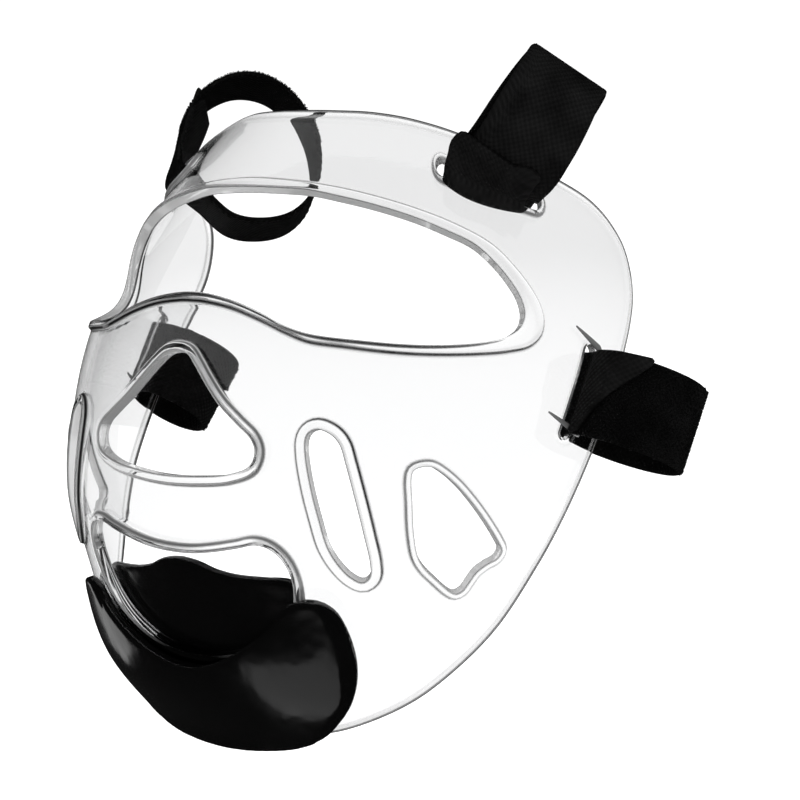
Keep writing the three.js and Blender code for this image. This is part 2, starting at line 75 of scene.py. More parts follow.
def knot_curve(knots: np.ndarray, steps: int) -> np.ndarray:
    """Draws a smooth closed curve through knots (centripetal Catmull-Rom).

    Args:
        knots: Corners of the loop, one row each.
        steps: Points from each knot up to the next.

    Returns:
        The points of the curve, one row each.
    """
    found = []
    for index in range(len(knots)):
        p = [knots[(index + shift) % len(knots)] for shift in (-1, 0, 1, 2)]
        d = [max(np.linalg.norm(p[k + 1] - p[k]), 1e-9) ** 0.5 for k in range(3)]
        t1 = (p[1] - p[0]) / d[0] - (p[2] - p[0]) / (d[0] + d[1]) + (p[2] - p[1]) / d[1]
        t2 = (p[2] - p[1]) / d[1] - (p[3] - p[1]) / (d[1] + d[2]) + (p[3] - p[2]) / d[2]
        t1, t2 = t1 * d[1], t2 * d[1]
        t = np.linspace(0, 1, steps, endpoint=False)[:, None]
        found.append(
            p[1] + t1 * t
            + (-3 * p[1] + 3 * p[2] - 2 * t1 - t2) * t ** 2
            + (2 * p[1] - 2 * p[2] + t1 + t2) * t ** 3
        )
    return np.vstack(found)


def loop_length(loop: np.ndarray) -> float:
    """Length of a closed loop of points."""
    return float(np.linalg.norm(np.roll(loop, -1, 0) - loop, axis=1).sum())


def even_loop(loop: np.ndarray, count: int) -> np.ndarray:
    """Resamples a closed loop to a number of evenly spaced points.

    Args:
        loop: Points of the loop.
        count: How many points to return.

    Returns:
        The new points, the first one unmoved.
    """
    closed = np.vstack([loop, loop[:1]])
    run = np.concatenate([[0], np.cumsum(np.linalg.norm(np.diff(closed, axis=0), axis=1))])
    at = np.arange(count) / count * run[-1]
    return np.stack([np.interp(at, run, closed[:, k]) for k in range(loop.shape[1])], axis=1)


def smooth_loop(knots: np.ndarray, step: float, fine: int = 60) -> np.ndarray:
    """Spreads points evenly along a smooth closed curve.

    Args:
        knots: Corners of the loop, one row each.
        step: Wanted distance from one point to the next.
        fine: Points between two knots of the curve that is resampled.

    Returns:
        The points of the curve, one row each.
    """
    curve = knot_curve(knots, fine)
    return even_loop(curve, max(int(round(loop_length(curve) / step)), 8))


def anticlockwise(loop: np.ndarray) -> np.ndarray:
    """Turns a loop, if need be, so that its inside is on the left of its heading.

    Args:
        loop: Points of the loop.

    Returns:
        The same points, anticlockwise.
    """
    following = np.roll(loop, -1, 0)
    area = (loop[:, 0] * following[:, 1] - loop[:, 1] * following[:, 0]).sum()
    return loop if area > 0 else loop[::-1].copy()


def outward(loop: np.ndarray) -> np.ndarray:
    """Finds the directions that point out of an anticlockwise loop.

    Args:
        loop: Points of the loop.

    Returns:
        One unit direction for each point.
    """
    along = unit(np.roll(loop, -1, 0) - np.roll(loop, 1, 0))
    return np.stack([along[:, 1], -along[:, 0]], axis=1)


def other_side(loop: np.ndarray) -> np.ndarray:
    """The same loop on the wearer's other side."""
    return anticlockwise(loop * (-1, 1))


def inside_loop(points: np.ndarray, loop: np.ndarray) -> np.ndarray:
    """Tells which points lie inside a loop.

    Args:
        points: Points to test, one row each.
        loop: The loop.

    Returns:
        True for each point that lies inside.
    """
    x, y = points[:, 0], points[:, 1]
    inside = np.zeros(len(points), bool)
    for (x0, y0), (x1, y1) in zip(np.roll(loop, 1, 0), loop):
        if y0 != y1:
            inside ^= ((y0 > y) != (y1 > y)) & (x < x0 + (y - y0) * (x1 - x0) / (y1 - y0))
    return inside


def loop_distance(points: np.ndarray, loop: np.ndarray) -> np.ndarray:
    """Measures from each point to the nearest place on a loop.

    Args:
        points: Points to measure from, one row each.
        loop: The loop.

    Returns:
        One distance for each point.
    """
    nearest = np.full(len(points), np.inf)
    for start, end in zip(np.roll(loop, 1, 0), loop):
        span = end - start
        share = np.clip((points - start) @ span / max(span @ span, 1e-12), 0, 1)
        nearest = np.minimum(nearest, np.linalg.norm(points - start - share[:, None] * span, axis=1))
    return nearest


# ---- The face's surface --------------------------------------------------------------------------


@dataclass(frozen=True)
class Section:
    """A level section of the shell: a round front that runs into straight sides, in mm."""

    height: float
    front: float
    side: float
    fullness: float


@dataclass(frozen=True)
class FaceForm:
    """The smooth surface that the shell and the cup follow.

    Flat drawings have x as degrees round the face times ``flat``, and y as height.
    """

    flat: float = 1.7
    sections: tuple[Section, ...] = (
        Section(62, 45.2, 63.2, 0.36),
        Section(48, 57.0, 78.3, 0.41),
        Section(34, 68.5, 83.0, 0.55),
        Section(6, 89.5, 89.5, 0.78),
        Section(-22, 99.5, 93.0, 0.92),
        Section(-55, 101.5, 93.0, 1.02),
        Section(-82, 95.0, 88.5, 1.02),
        Section(-104, 88.5, 83.5, 0.98),
        Section(-122, 76.0, 77.0, 0.92),
    )

    def column(self, name: str, height: np.ndarray) -> np.ndarray:
        """Reads one column of the sections on a smooth curve.

        Args:
            name: The column.
            height: Heights to read it at.

        Returns:
            One value for each height.
        """
        rows = np.array([s.height for s in self.sections])
        values = np.array([getattr(s, name) for s in self.sections])
        last = len(rows) - 1
        below = np.minimum(np.arange(1, last + 2), last)
        above = np.maximum(np.arange(-1, last), 0)
        slopes = (values[below] - values[above]) / (rows[below] - rows[above])
        row = np.clip(np.searchsorted(-rows, -height, side="left") - 1, 0, last - 1)
        span = rows[row + 1] - rows[row]
        t = (height - rows[row]) / span
        return (
            (2 * t ** 3 - 3 * t ** 2 + 1) * values[row]
            + (t ** 3 - 2 * t ** 2 + t) * span * slopes[row]
            + (3 * t ** 2 - 2 * t ** 3) * values[row + 1]
            + (t ** 3 - t ** 2) * span * slopes[row + 1]
        )

    def radius(self, angle: np.ndarray, height: np.ndarray) -> np.ndarray:
        """Measures from the upright axis to the outer face.

        Args:
            angle: Degrees round the face from its middle.
            height: Heights in mm.

        Returns:
            One distance in mm for each place.
        """
        turn = np.radians(np.abs(angle))
        side = self.column("side", height)
        front = self.column("front", height)
        full = self.column("fullness", height)
        quarter = math.pi / 2 - 1e-6
        bounded = np.minimum(turn, quarter)
        along = side * np.cos(bounded)
        across = front * np.sin(bounded)
        middle = 2 * full * (along - across) + 2 * across
        root = np.sqrt(middle ** 2 + 4 * across * (along - across) * (1 - 2 * full))
        t = 2 * across / (middle + root)
        corner = 2 * full * t * (1 - t)
        weight = (1 - t) ** 2 + corner + t ** 2
        arc = np.hypot(side * (corner + t ** 2), front * (corner + (1 - t) ** 2)) / weight
        return np.where(turn >= quarter, side / np.sin(turn), arc)

    def skin(self, angle: np.ndarray, height: np.ndarray) -> np.ndarray:
        """Finds points of the outer face.

        Args:
            angle: Degrees round the face from its middle.
            height: Heights in mm.

        Returns:
            One point in mm for each place.
        """
        turn = np.radians(angle)
        radius = self.radius(angle, height)
        return np.stack([radius * np.sin(turn), -radius * np.cos(turn), height], axis=-1)

    def normal(self, angle: np.ndarray, height: np.ndarray, step: float = 0.5) -> np.ndarray:
        """Finds the directions that point out of the outer face.

        Args:
            angle: Degrees round the face from its middle.
            height: Heights in mm.
            step: How far to each side the slope is measured.

        Returns:
            One unit direction for each place.
        """
        around = self.skin(angle + step, height) - self.skin(angle - step, height)
        up = self.skin(angle, height + step) - self.skin(angle, height - step)
        return unit(np.cross(around, up))

    def wrap(self, flat: np.ndarray, rise: np.ndarray) -> np.ndarray:
        """Wraps a flat drawing round the face.

        Args:
            flat: Flat points, one row each.
            rise: Height of each above the outer face, in mm.

        Returns:
            Points in metres.
        """
        angle, height = flat[:, 0] / self.flat, flat[:, 1].astype(float)
        return (self.skin(angle, height) + self.normal(angle, height) * rise[:, None]) * MM

    def flatten(self, outline: Outline) -> np.ndarray:
        """Flat points for a tuple of (angle, height)."""
        return np.array(outline, float) * (self.flat, 1)

    def middle_loop(self, half: Outline, step: float) -> np.ndarray:
        """Draws a loop across the middle plane from its left half.

        Args:
            half: The outline's left half, from the top of the middle to its bottom.
            step: Distance between the loop's points.

        Returns:
            The loop, anticlockwise.
        """
        left = self.flatten(half)
        right = left[1:-1][::-1] * (-1, 1)
        return anticlockwise(smooth_loop(np.vstack([left, right]), step))

    def side_loop(self, outline: Outline, step: float) -> np.ndarray:
        """Draws a whole loop on the wearer's left, anticlockwise."""
        return anticlockwise(smooth_loop(self.flatten(outline), step))


# ---- Mesh helpers --------------------------------------------------------------------------------


def new_piece(name: str, points: np.ndarray, faces: list, smooth: bool = True) -> Piece:
    """Makes a mesh object at the origin.

    Args:
        name: The piece's name.
        points: Vertices in metres.
        faces: Corners of each face.
        smooth: Whether its faces are shaded smooth.

    Returns:
        The new object, linked to the scene.
    """
    mesh = bpy.data.meshes.new(name)
    mesh.from_pydata([tuple(map(float, p)) for p in points], [], [tuple(map(int, f)) for f in faces])
    mesh.validate()
    mesh.polygons.foreach_set("use_smooth", [smooth] * len(mesh.polygons))
    mesh.update()
    made = bpy.data.objects.new(name, mesh)
    bpy.context.scene.collection.objects.link(made)
    return made


def paint(piece: Piece, name: str, values: np.ndarray) -> None:
    """Stores a number, or a row of three, for each vertex.

    Args:
        piece: The mesh object.
        name: The attribute's name.
        values: One number or row for each vertex.
    """
    values = np.asarray(values, np.float32)
    kind, field = ("FLOAT", "value") if values.ndim == 1 else ("FLOAT_VECTOR", "vector")
    layer = piece.data.attributes.new(name, kind, "POINT")
    layer.data.foreach_set(field, values.ravel())


def grid_faces(rows: int, width: int, ringed: bool = False, looped: bool = False) -> list[tuple]:
    """Joins the points of a grid with quads.

    Args:
        rows: How many rows of points.
        width: Points in a row.
        ringed: Whether the last point of a row joins its first.
        looped: Whether the last row joins the first.

    Returns:
        Corners of each quad.
    """
    return [
        (row * width + at, row * width + (at + 1) % width,
         (row + 1) % rows * width + (at + 1) % width, (row + 1) % rows * width + at)
        for row in range(rows if looped else rows - 1)
        for at in range(width if ringed else width - 1)
    ]


# ---- The clear shell -----------------------------------------------------------------------------

# In mm: the shell's wall, how high its rims stand, and a height below the whole shield.
SHELL_WALL = 2.6
RIM_RISE = 1.2
BELOW_ALL = -200.0

# Outlines, as degrees round the face and height. One that crosses the middle plane is its left
# half, from the top down. The others are whole, on the wearer's left.
PERIMETER = (
    (0, 60.2), (17, 60), (32, 59.3), (45.5, 57.2), (57.3, 53.3), (67.7, 46.9), (76.8, 39.3),
    (83.4, 33), (87.6, 26.5), (90.3, 19.6), (91.1, 11.5), (90.5, 4), (88.6, -3.2), (86.1, -10.6),
    (81.2, -25), (76, -39.1), (69.9, -55.5), (65, -68.7), (58, -85.6), (49.2, -99.6),
    (42.1, -108.3), (32.3, -116.1), (24, -120), (12, -121.5), (0, -121.8),
)
EYE_OPENING = (
    (0, 36.5), (9, 36.3), (18, 35.7), (26, 34.1), (35.4, 31.6), (43.9, 28.3), (50, 24.8),
    (55.3, 20.9), (58.6, 16), (61, 10.8), (62.5, 6), (62.8, 1.7), (61.8, -1.6), (59.2, -4),
    (55.4, -5.2), (49.6, -5.8), (42.5, -5.6), (34.3, -4.5), (25.5, -2.9), (20.5, -0.6),
    (16.2, 2.2), (10.3, 5), (4, 6.7), (0, 7),
)
EYE_RIM = (
    (0, 39.6), (9, 39.2), (20, 38), (32.5, 35.4), (44, 31.4), (52.5, 26.8), (59, 21.2),
    (62.6, 15), (65, 9.3), (66.5, 4), (66.8, -0.2), (65.9, -4.2), (63.4, -7.2), (59.2, -8.4),
    (53.4, -8.8), (45.1, -8.6), (38.9, -7.9), (31.8, -6.6), (25.6, -5.4), (21.4, -3.2),
    (16.1, 0), (9.6, 2.9), (3, 4.3), (0, 4.4),
)
NOSE_OPENING = (
    (0, -9.2), (2.6, -10), (4.8, -13), (7.6, -17.8), (10.7, -23), (14.6, -28.2), (17.2, -31.8),
    (18, -35), (17.2, -39), (13.4, -41.8), (7, -43.3), (0, -43.9),
)
MOUTH_OPENING = (
    (0, -66), (5.1, -65.6), (9.5, -64.4), (14.5, -62.5), (17.8, -61.1), (20.3, -61.9),
    (22.3, -64.8), (23.5, -69.5), (23.6, -75.5), (22.4, -81.5), (19.5, -87), (14.5, -92),
    (8, -95.7), (0, -97),
)
CHEEK_SLOT = (
    (28.3, -28.4), (30.4, -29.8), (31.7, -32.4), (32.6, -37.3), (34, -46.6), (35.3, -56.5),
    (36.2, -64.8), (36.1, -68.4), (35, -70), (33.4, -68.8), (31.6, -65.5), (30, -60.6),
    (28.7, -52.5), (27.5, -44.1), (26.6, -35.7), (26.5, -31.3), (27.1, -29.2),
)
CHEEK_VENT = (
    (43.6, -38.6), (45.4, -38.4), (47, -40), (49.3, -43.6), (51.8, -48.8), (54.2, -54.6),
    (56.2, -60), (56.9, -62.5), (56.2, -64.6), (54.6, -65.9), (52.8, -68), (51.6, -70.8),
    (50.6, -73.2), (49.5, -74), (48.4, -73), (46.5, -69.9), (44.4, -66), (43.4, -62.6),
    (42.8, -56), (42.6, -47.6), (42.5, -41.5), (42.8, -39.4),
)


@dataclass(frozen=True)
class StrapSlot:
    """A slot for a strap: the centres of its round ends, its half width and offset in mm."""

    start: tuple[float, float]
    end: tuple[float, float]
    half: float = 2.7
    offset: float = 0.0
    cap_points: int = 12

    def loop(self, form: FaceForm, step: float) -> np.ndarray:
        """Draws the slot on the wearer's left.

        Args:
            form: The face that it is cut in.
            step: Distance between the loop's points.

        Returns:
            The loop, anticlockwise.
        """
        a, b = form.flatten((self.start, self.end))
        heading = math.atan2(*(b - a)[::-1])
        aside = np.array([-math.sin(heading), math.cos(heading)]) * self.offset
        turns = np.linspace(-math.pi / 2, math.pi / 2, self.cap_points)
        cap = np.stack([np.cos(turns + heading), np.sin(turns + heading)], axis=1) * self.half
        outline = np.vstack([b + cap, a - cap]) + aside
        return anticlockwise(even_loop(outline, int(loop_length(outline) / step)))


UPPER_SLOT = StrapSlot((51.6, 42.2), (69.4, 32.9))
LOWER_SLOT = StrapSlot((76.8, -6.5), (69.2, -31.5))
LOWER_GAP = StrapSlot((76.0, -8.9), (69.2, -31.5), half=1.7, offset=0.8)


@dataclass(frozen=True)
class Rim:
    """The rounded rim round an opening, in mm.

    ``outer``, ``lip`` and ``inner`` are how dark the painted shade of its lines is on its flank, on
    its lip and on the inner face. ``light`` is how pale the painted light makes the opening's cut
    wall. Round the height ``dark_low`` the rim turns black, a painted shadow of the cup behind it.
    ``foot`` is how far it runs out onto the plain face.
    """

    width: float
    rise: float = RIM_RISE
    outer: float = 1.0
    lip: float = 1.0
    inner: float = 0.35
    light: float = 0.7
    dark_low: float = BELOW_ALL
    foot: float = 1.2

    def rows(self) -> list[tuple[float, ...]]:
        """Draws the section from the plain face over the crest and into the opening.

        Returns:
            Rows of share of the width, mm beyond that, rise, how dark its painted shade is and how
            pale its painted light is.
        """
        # The flank and lip rows carry painted edge shade, and the last two rows the cut wall's painted
        # light.
        flank = (
            (0.7, 0.0, 0.0), (0.42, 0.0, 0.12), (0.12, 0.04, 0.6), (-0.12, 0.17, 0.95),
            (-0.28, 0.38, 1.0), (-0.42, 0.63, 1.0), (-0.56, 0.81, 0.8), (-0.74, 0.93, 0.3),
            (-0.95, 0.99, 0.0),
        )
        lip = ((0.55, 0.0, 0.0), (0.26, -0.06, 0.7), (0.08, -0.22, 0.9), (0.0, -0.38, 0.45))
        top, brim = flank[-1][0], lip[0][0]
        dark = self.outer * self.lip
        rows = [(1.0, mm, part * self.rise, tone * self.outer, 0.0) for mm, part, tone in flank]
        rows += [(part, brim + (top - brim) * part, self.rise, 0.0, 0.0) for part in (0.75, 0.5, 0.25)]
        rows += [(0.0, mm, self.rise + drop, tone * dark, 0.0) for mm, drop, tone in lip]
        return rows + [(0.0, 0.0, self.rise + drop, 0.0, self.light) for drop in (-0.55, -1.3)]


class LoopMesh:
    """A mesh made of flat loops, each at a rise above the face and joined to the next."""

    shadow_fade: float = 10.0

    def __init__(self) -> None:
        """Starts without a loop."""
        self.loops: list[np.ndarray] = []
        self.faces: list[tuple[int, ...]] = []

    def add(self, flat: np.ndarray, rise: float, tone: float = 0.0, light: float = 0.0,
            dark_low: float = BELOW_ALL) -> int:
        """Adds a loop of points.

        Args:
            flat: The points.
            rise: Their height above the outer face.
            tone: How dark the painted shade on the plastic's edge is there.
            light: How pale the painted light makes a cut wall there.
            dark_low: The height below which the cup's painted shadow turns it black.

        Returns:
            The number of its first point.
        """
        start = sum(len(loop) for loop in self.loops)
        # The cup's painted shadow: black below dark_low, fading in over shadow_fade.
        shadow = np.clip((dark_low - flat[:, 1]) / self.shadow_fade + 0.5, 0, 1)
        marks = np.full((len(flat), 3), (rise, tone, light))
        self.loops.append(np.column_stack([flat, marks, shadow]))
        return start

    def skirt(self, start: int, rows: list[tuple], end: int, turned: bool = False) -> None:
        """Adds loops one after another between two loops that are there already.

        Args:
            start: First point of the loop to begin at.
            rows: What ``add`` takes, for each new loop.
            end: First point of the loop to end at.
            turned: Whether the faces' corners run the other way round.
        """
        count = len(rows[0][0])
        stops = [start]
        for row in rows:
            stops.append(self.add(*row))
        stops.append(end)
        for pair in zip(stops, stops[1:]):
            low, high = pair[::-1] if turned else pair
            for at in range(count):
                after = (at + 1) % count
                self.faces.append((low + at, low + after, high + after, high + at))

    def finish(self, name: str, form: FaceForm) -> Piece:
        """Makes the mesh object.

        Args:
            name: The piece's name.
            form: The face that it lies on.

        Returns:
            The piece, with ``wall_edge`` for the painted shade on its moulded edges, ``wall_light`` for
            the painted light on the openings' walls, and ``wall_shadow`` for the cup's painted shadow.
        """
        table = np.vstack(self.loops)
        piece = new_piece(name, form.wrap(table[:, :2], table[:, 2]), self.faces)
        for mark, values in zip(("wall_edge", "wall_light", "wall_shadow"), table[:, 3:].T):
            paint(piece, mark, values)
        return piece


@dataclass
class ClearShell:
    """The moulded shell: one clear wall with a rounded raised rim round every opening, in mm.

    ``edge`` is the section of the shell's own edge, from the plain face outwards: how far inside
    the outline, rise and how dark its painted edge shade is. ``under`` is the section from any cut
    wall to the inner face, with heights above that face and painted edge shade, and what is over
    ``cut_low`` belongs to the wall and takes its painted light. The plain face is filled with rows
    ``row_pitch`` steps apart, at least ``edge_room`` steps from any loop.
    """

    form: FaceForm
    edge_step: float = 0.8
    perimeter_step: float = 1.2
    fine_step: float = 0.1
    fill_step: float = 1.9
    row_pitch: float = 0.87
    edge_room: float = 0.55
    edge_foot: float = 3.2
    cut_low: float = 0.7
    # The third number of each row is how dark the painted edge shade is there.
    edge: tuple[tuple[float, float, float], ...] = (
        (2.75, -0.01, 0.3), (2.35, -0.05, 0.3), (1.7, -0.23, 0.0), (0.95, -0.44, 0.0),
        (0.75, -0.5, 0.5), (0.5, -0.58, 0.9), (0.24, -0.68, 1.0), (0.07, -0.8, 1.0),
        (0.0, -1.0, 0.9), (0.0, -1.35, 0.05),
    )
    under: tuple[tuple[float, float, float], ...] = (
        (0.0, 0.75, 0.05), (0.0, 0.45, 0.8), (0.1, 0.22, 1.0), (0.5, 0.03, 0.8), (0.75, 0.0, 0.0),
    )
    # Each rim's painted edge shade and painted wall light; the mouth's turns black low down, a painted
    # shadow of the cup.
    eye: Rim = Rim(0, lip=0.4, inner=1.0, light=0.5)
    nose: Rim = Rim(2.8, outer=0.9, inner=0.5, light=0.3)
    mouth: Rim = Rim(2.6, outer=0.85, inner=0.25, light=0.0, dark_low=-91.5)
    cheek_slot: Rim = Rim(3.2, inner=0.2)
    cheek_vent: Rim = Rim(2.0, outer=0.87, inner=0.0)
    upper_slot: Rim = Rim(1.8, outer=0.8, inner=0.1, light=0.5)
    lower_slot: Rim = Rim(1.8, rise=0.05, outer=0.08, inner=0.03, light=0.3)

    @staticmethod
    def matched(hole: np.ndarray, rim: np.ndarray, spread: int = 9) -> np.ndarray:
        """Finds the rim's point for each point of its hole.

        Args:
            hole: The hole's outline.
            rim: The rim's outline, in fine steps.
            spread: Points to each side over which a jump round a corner is evened out.

        Returns:
            One point of the rim for each point of the hole.
        """
        nearest = np.linalg.norm(hole[:, None] - rim[None], axis=2).argmin(axis=1)
        steps = np.diff(nearest, append=nearest[0])
        steps = (steps + len(rim) // 2) % len(rim) - len(rim) // 2
        around = np.concatenate([steps[-spread:], steps, steps[:spread]])
        even = np.convolve(around, np.full(2 * spread + 1, 1 / (2 * spread + 1)), "valid")
        at = nearest[0] + np.cumsum(even) - even
        return rim[np.round(at).astype(int) % len(rim)]

    def openings(self) -> list[tuple[np.ndarray, np.ndarray, Rim]]:
        """Draws every opening.

        Returns:
            Opening outline, rim outline and rim of each, the outlines anticlockwise.
        """
        form, step = self.form, self.edge_step
        eye = form.middle_loop(EYE_OPENING, step)
        eye_rim = self.matched(eye, form.middle_loop(EYE_RIM, self.fine_step))
        loops = [
            (form.middle_loop(NOSE_OPENING, step), self.nose),
            (form.middle_loop(MOUTH_OPENING, step), self.mouth),
        ]
        for left, kind in (
            (form.side_loop(CHEEK_SLOT, step), self.cheek_slot),
            (form.side_loop(CHEEK_VENT, step), self.cheek_vent),
            (UPPER_SLOT.loop(form, step), self.upper_slot),
            (LOWER_GAP.loop(form, step), self.lower_slot),
        ):
            loops += [(left, kind), (other_side(left), kind)]
        drawn = [(loop, loop + outward(loop) * kind.width, kind) for loop, kind in loops]
        return [(eye, eye_rim, self.eye), *drawn]

    @staticmethod
    def between(points: np.ndarray, outer: np.ndarray, holes: list[np.ndarray]) -> np.ndarray:
        """Tells which points lie inside a loop but in none of its holes.

        Args:
            points: Points to test, one row each.
            outer: The loop.
            holes: The holes' loops.

        Returns:
            True for each point that does.
        """
        keep = inside_loop(points, outer)
        for hole in holes:
            keep &= ~inside_loop(points, hole)
        return keep

    def fill(self, outer: np.ndarray, holes: list[np.ndarray]) -> tuple[np.ndarray, list]:
        """Triangulates the plain part of the face.

        Args:
            outer: Loop round it.
            holes: Loops that it leaves out.

        Returns:
            Points, which begin with the loops' own in order, and triangles.
        """
        loops = [outer, *holes]
        low, high = outer.min(axis=0), outer.max(axis=0)
        rows = int((high[1] - low[1]) / (self.fill_step * self.row_pitch))
        inner = []
        for row in range(rows + 1):
            y = low[1] + (high[1] - low[1]) * row / rows
            x = np.arange(0, high[0], self.fill_step) + (self.fill_step / 2 if row % 2 else 0)
            x = np.unique(np.concatenate([-x, x]))
            inner.append(np.stack([x, np.full(len(x), y)], axis=1))
        inner = np.vstack(inner)
        inner = inner[self.between(inner, outer, holes)]
        for loop in loops:
            inner = inner[loop_distance(inner, loop[::2]) > self.edge_room * self.fill_step]
        points = np.vstack([*loops, inner])
        edges, start = [], 0
        for loop in loops:
            edges += [(start + k, start + (k + 1) % len(loop)) for k in range(len(loop))]
            start += len(loop)
        found, _, triangles, *_ = delaunay_2d_cdt(
            [Vector(p) for p in points], edges, [], 0, 1e-6, False)
        found = np.array([tuple(p) for p in found])
        if len(found) != len(points):
            log.warning("the face's outlines touch: %d points became %d", len(points), len(found))
        triangles = np.array([tuple(t) for t in triangles])
        return found, triangles[self.between(found[triangles].mean(axis=1), outer, holes)].tolist()

    def build(self) -> Piece:
        """Makes the shell's mesh.

        Returns:
            The piece, with the marks that its material reads.
        """
        perimeter = self.form.middle_loop(PERIMETER, self.perimeter_step)
        inward = -outward(perimeter)
        drawn = [(hole, rim, unit(rim - hole), kind) for hole, rim, kind in self.openings()]
        feet = [rim + heading * kind.foot for _, rim, heading, kind in drawn]
        flat, triangles = self.fill(perimeter + inward * self.edge_foot, feet)
        mesh = LoopMesh()
        top, bottom = mesh.add(flat, 0.0), mesh.add(flat, -SHELL_WALL)
        mesh.faces += triangles + [(bottom + c, bottom + b, bottom + a) for a, b, c in triangles]

        # The perimeter, from the plain face over its bevel and round its edge to the inner face.
        under = [(aside, height - SHELL_WALL, tone) for aside, height, tone in self.under]
        rows = [(perimeter + inward * mm, rise, tone) for mm, rise, tone in (*self.edge, *under)]
        mesh.skirt(top, rows, bottom, turned=True)

        # Each rim, from its foot over its crest and down the hole's wall to the inner face, with its
        # painted edge shade, the cut wall's painted light and the cup's painted shadow.
        start = len(perimeter)
        for hole, rim, heading, kind in drawn:
            section = kind.rows() + [
                (0.0, mm, rise, tone * kind.inner, kind.light * (rise > self.cut_low - SHELL_WALL))
                for mm, rise, tone in under
            ]
            rows = [
                (hole + (rim - hole) * share + heading * mm, rise, tone, light, kind.dark_low)
                for share, mm, rise, tone, light in section
            ]
            mesh.skirt(top + start, rows, bottom + start)
            start += len(hole)
        return mesh.finish("moulded_shell", self.form)


# ---- The chin cup --------------------------------------------------------------------------------

CUP_OUTER = (
    (0, -100), (7, -98.2), (14, -93.4), (20.5, -86.4), (23.4, -81), (25.2, -78.8), (28, -78.2),
    (30.1, -78.9), (32.2, -81.6), (33.6, -86.6), (34.5, -92.9), (34.7, -98.2), (34.2, -103.8),
    (32.8, -109.4), (30.4, -114.4), (26.7, -119.6), (20, -123.8), (10, -126.2), (0, -127),
)
CUP_INNER = (
    (0, -70), (4.5, -71), (8.5, -73.2), (13, -74.4), (19, -74.8), (23.6, -75.2), (25.2, -76.8),
    (26.2, -82.6), (28.2, -90), (29.2, -99), (28.2, -108.6), (25, -117.4), (19.5, -123),
    (10, -125.4), (0, -126),
)


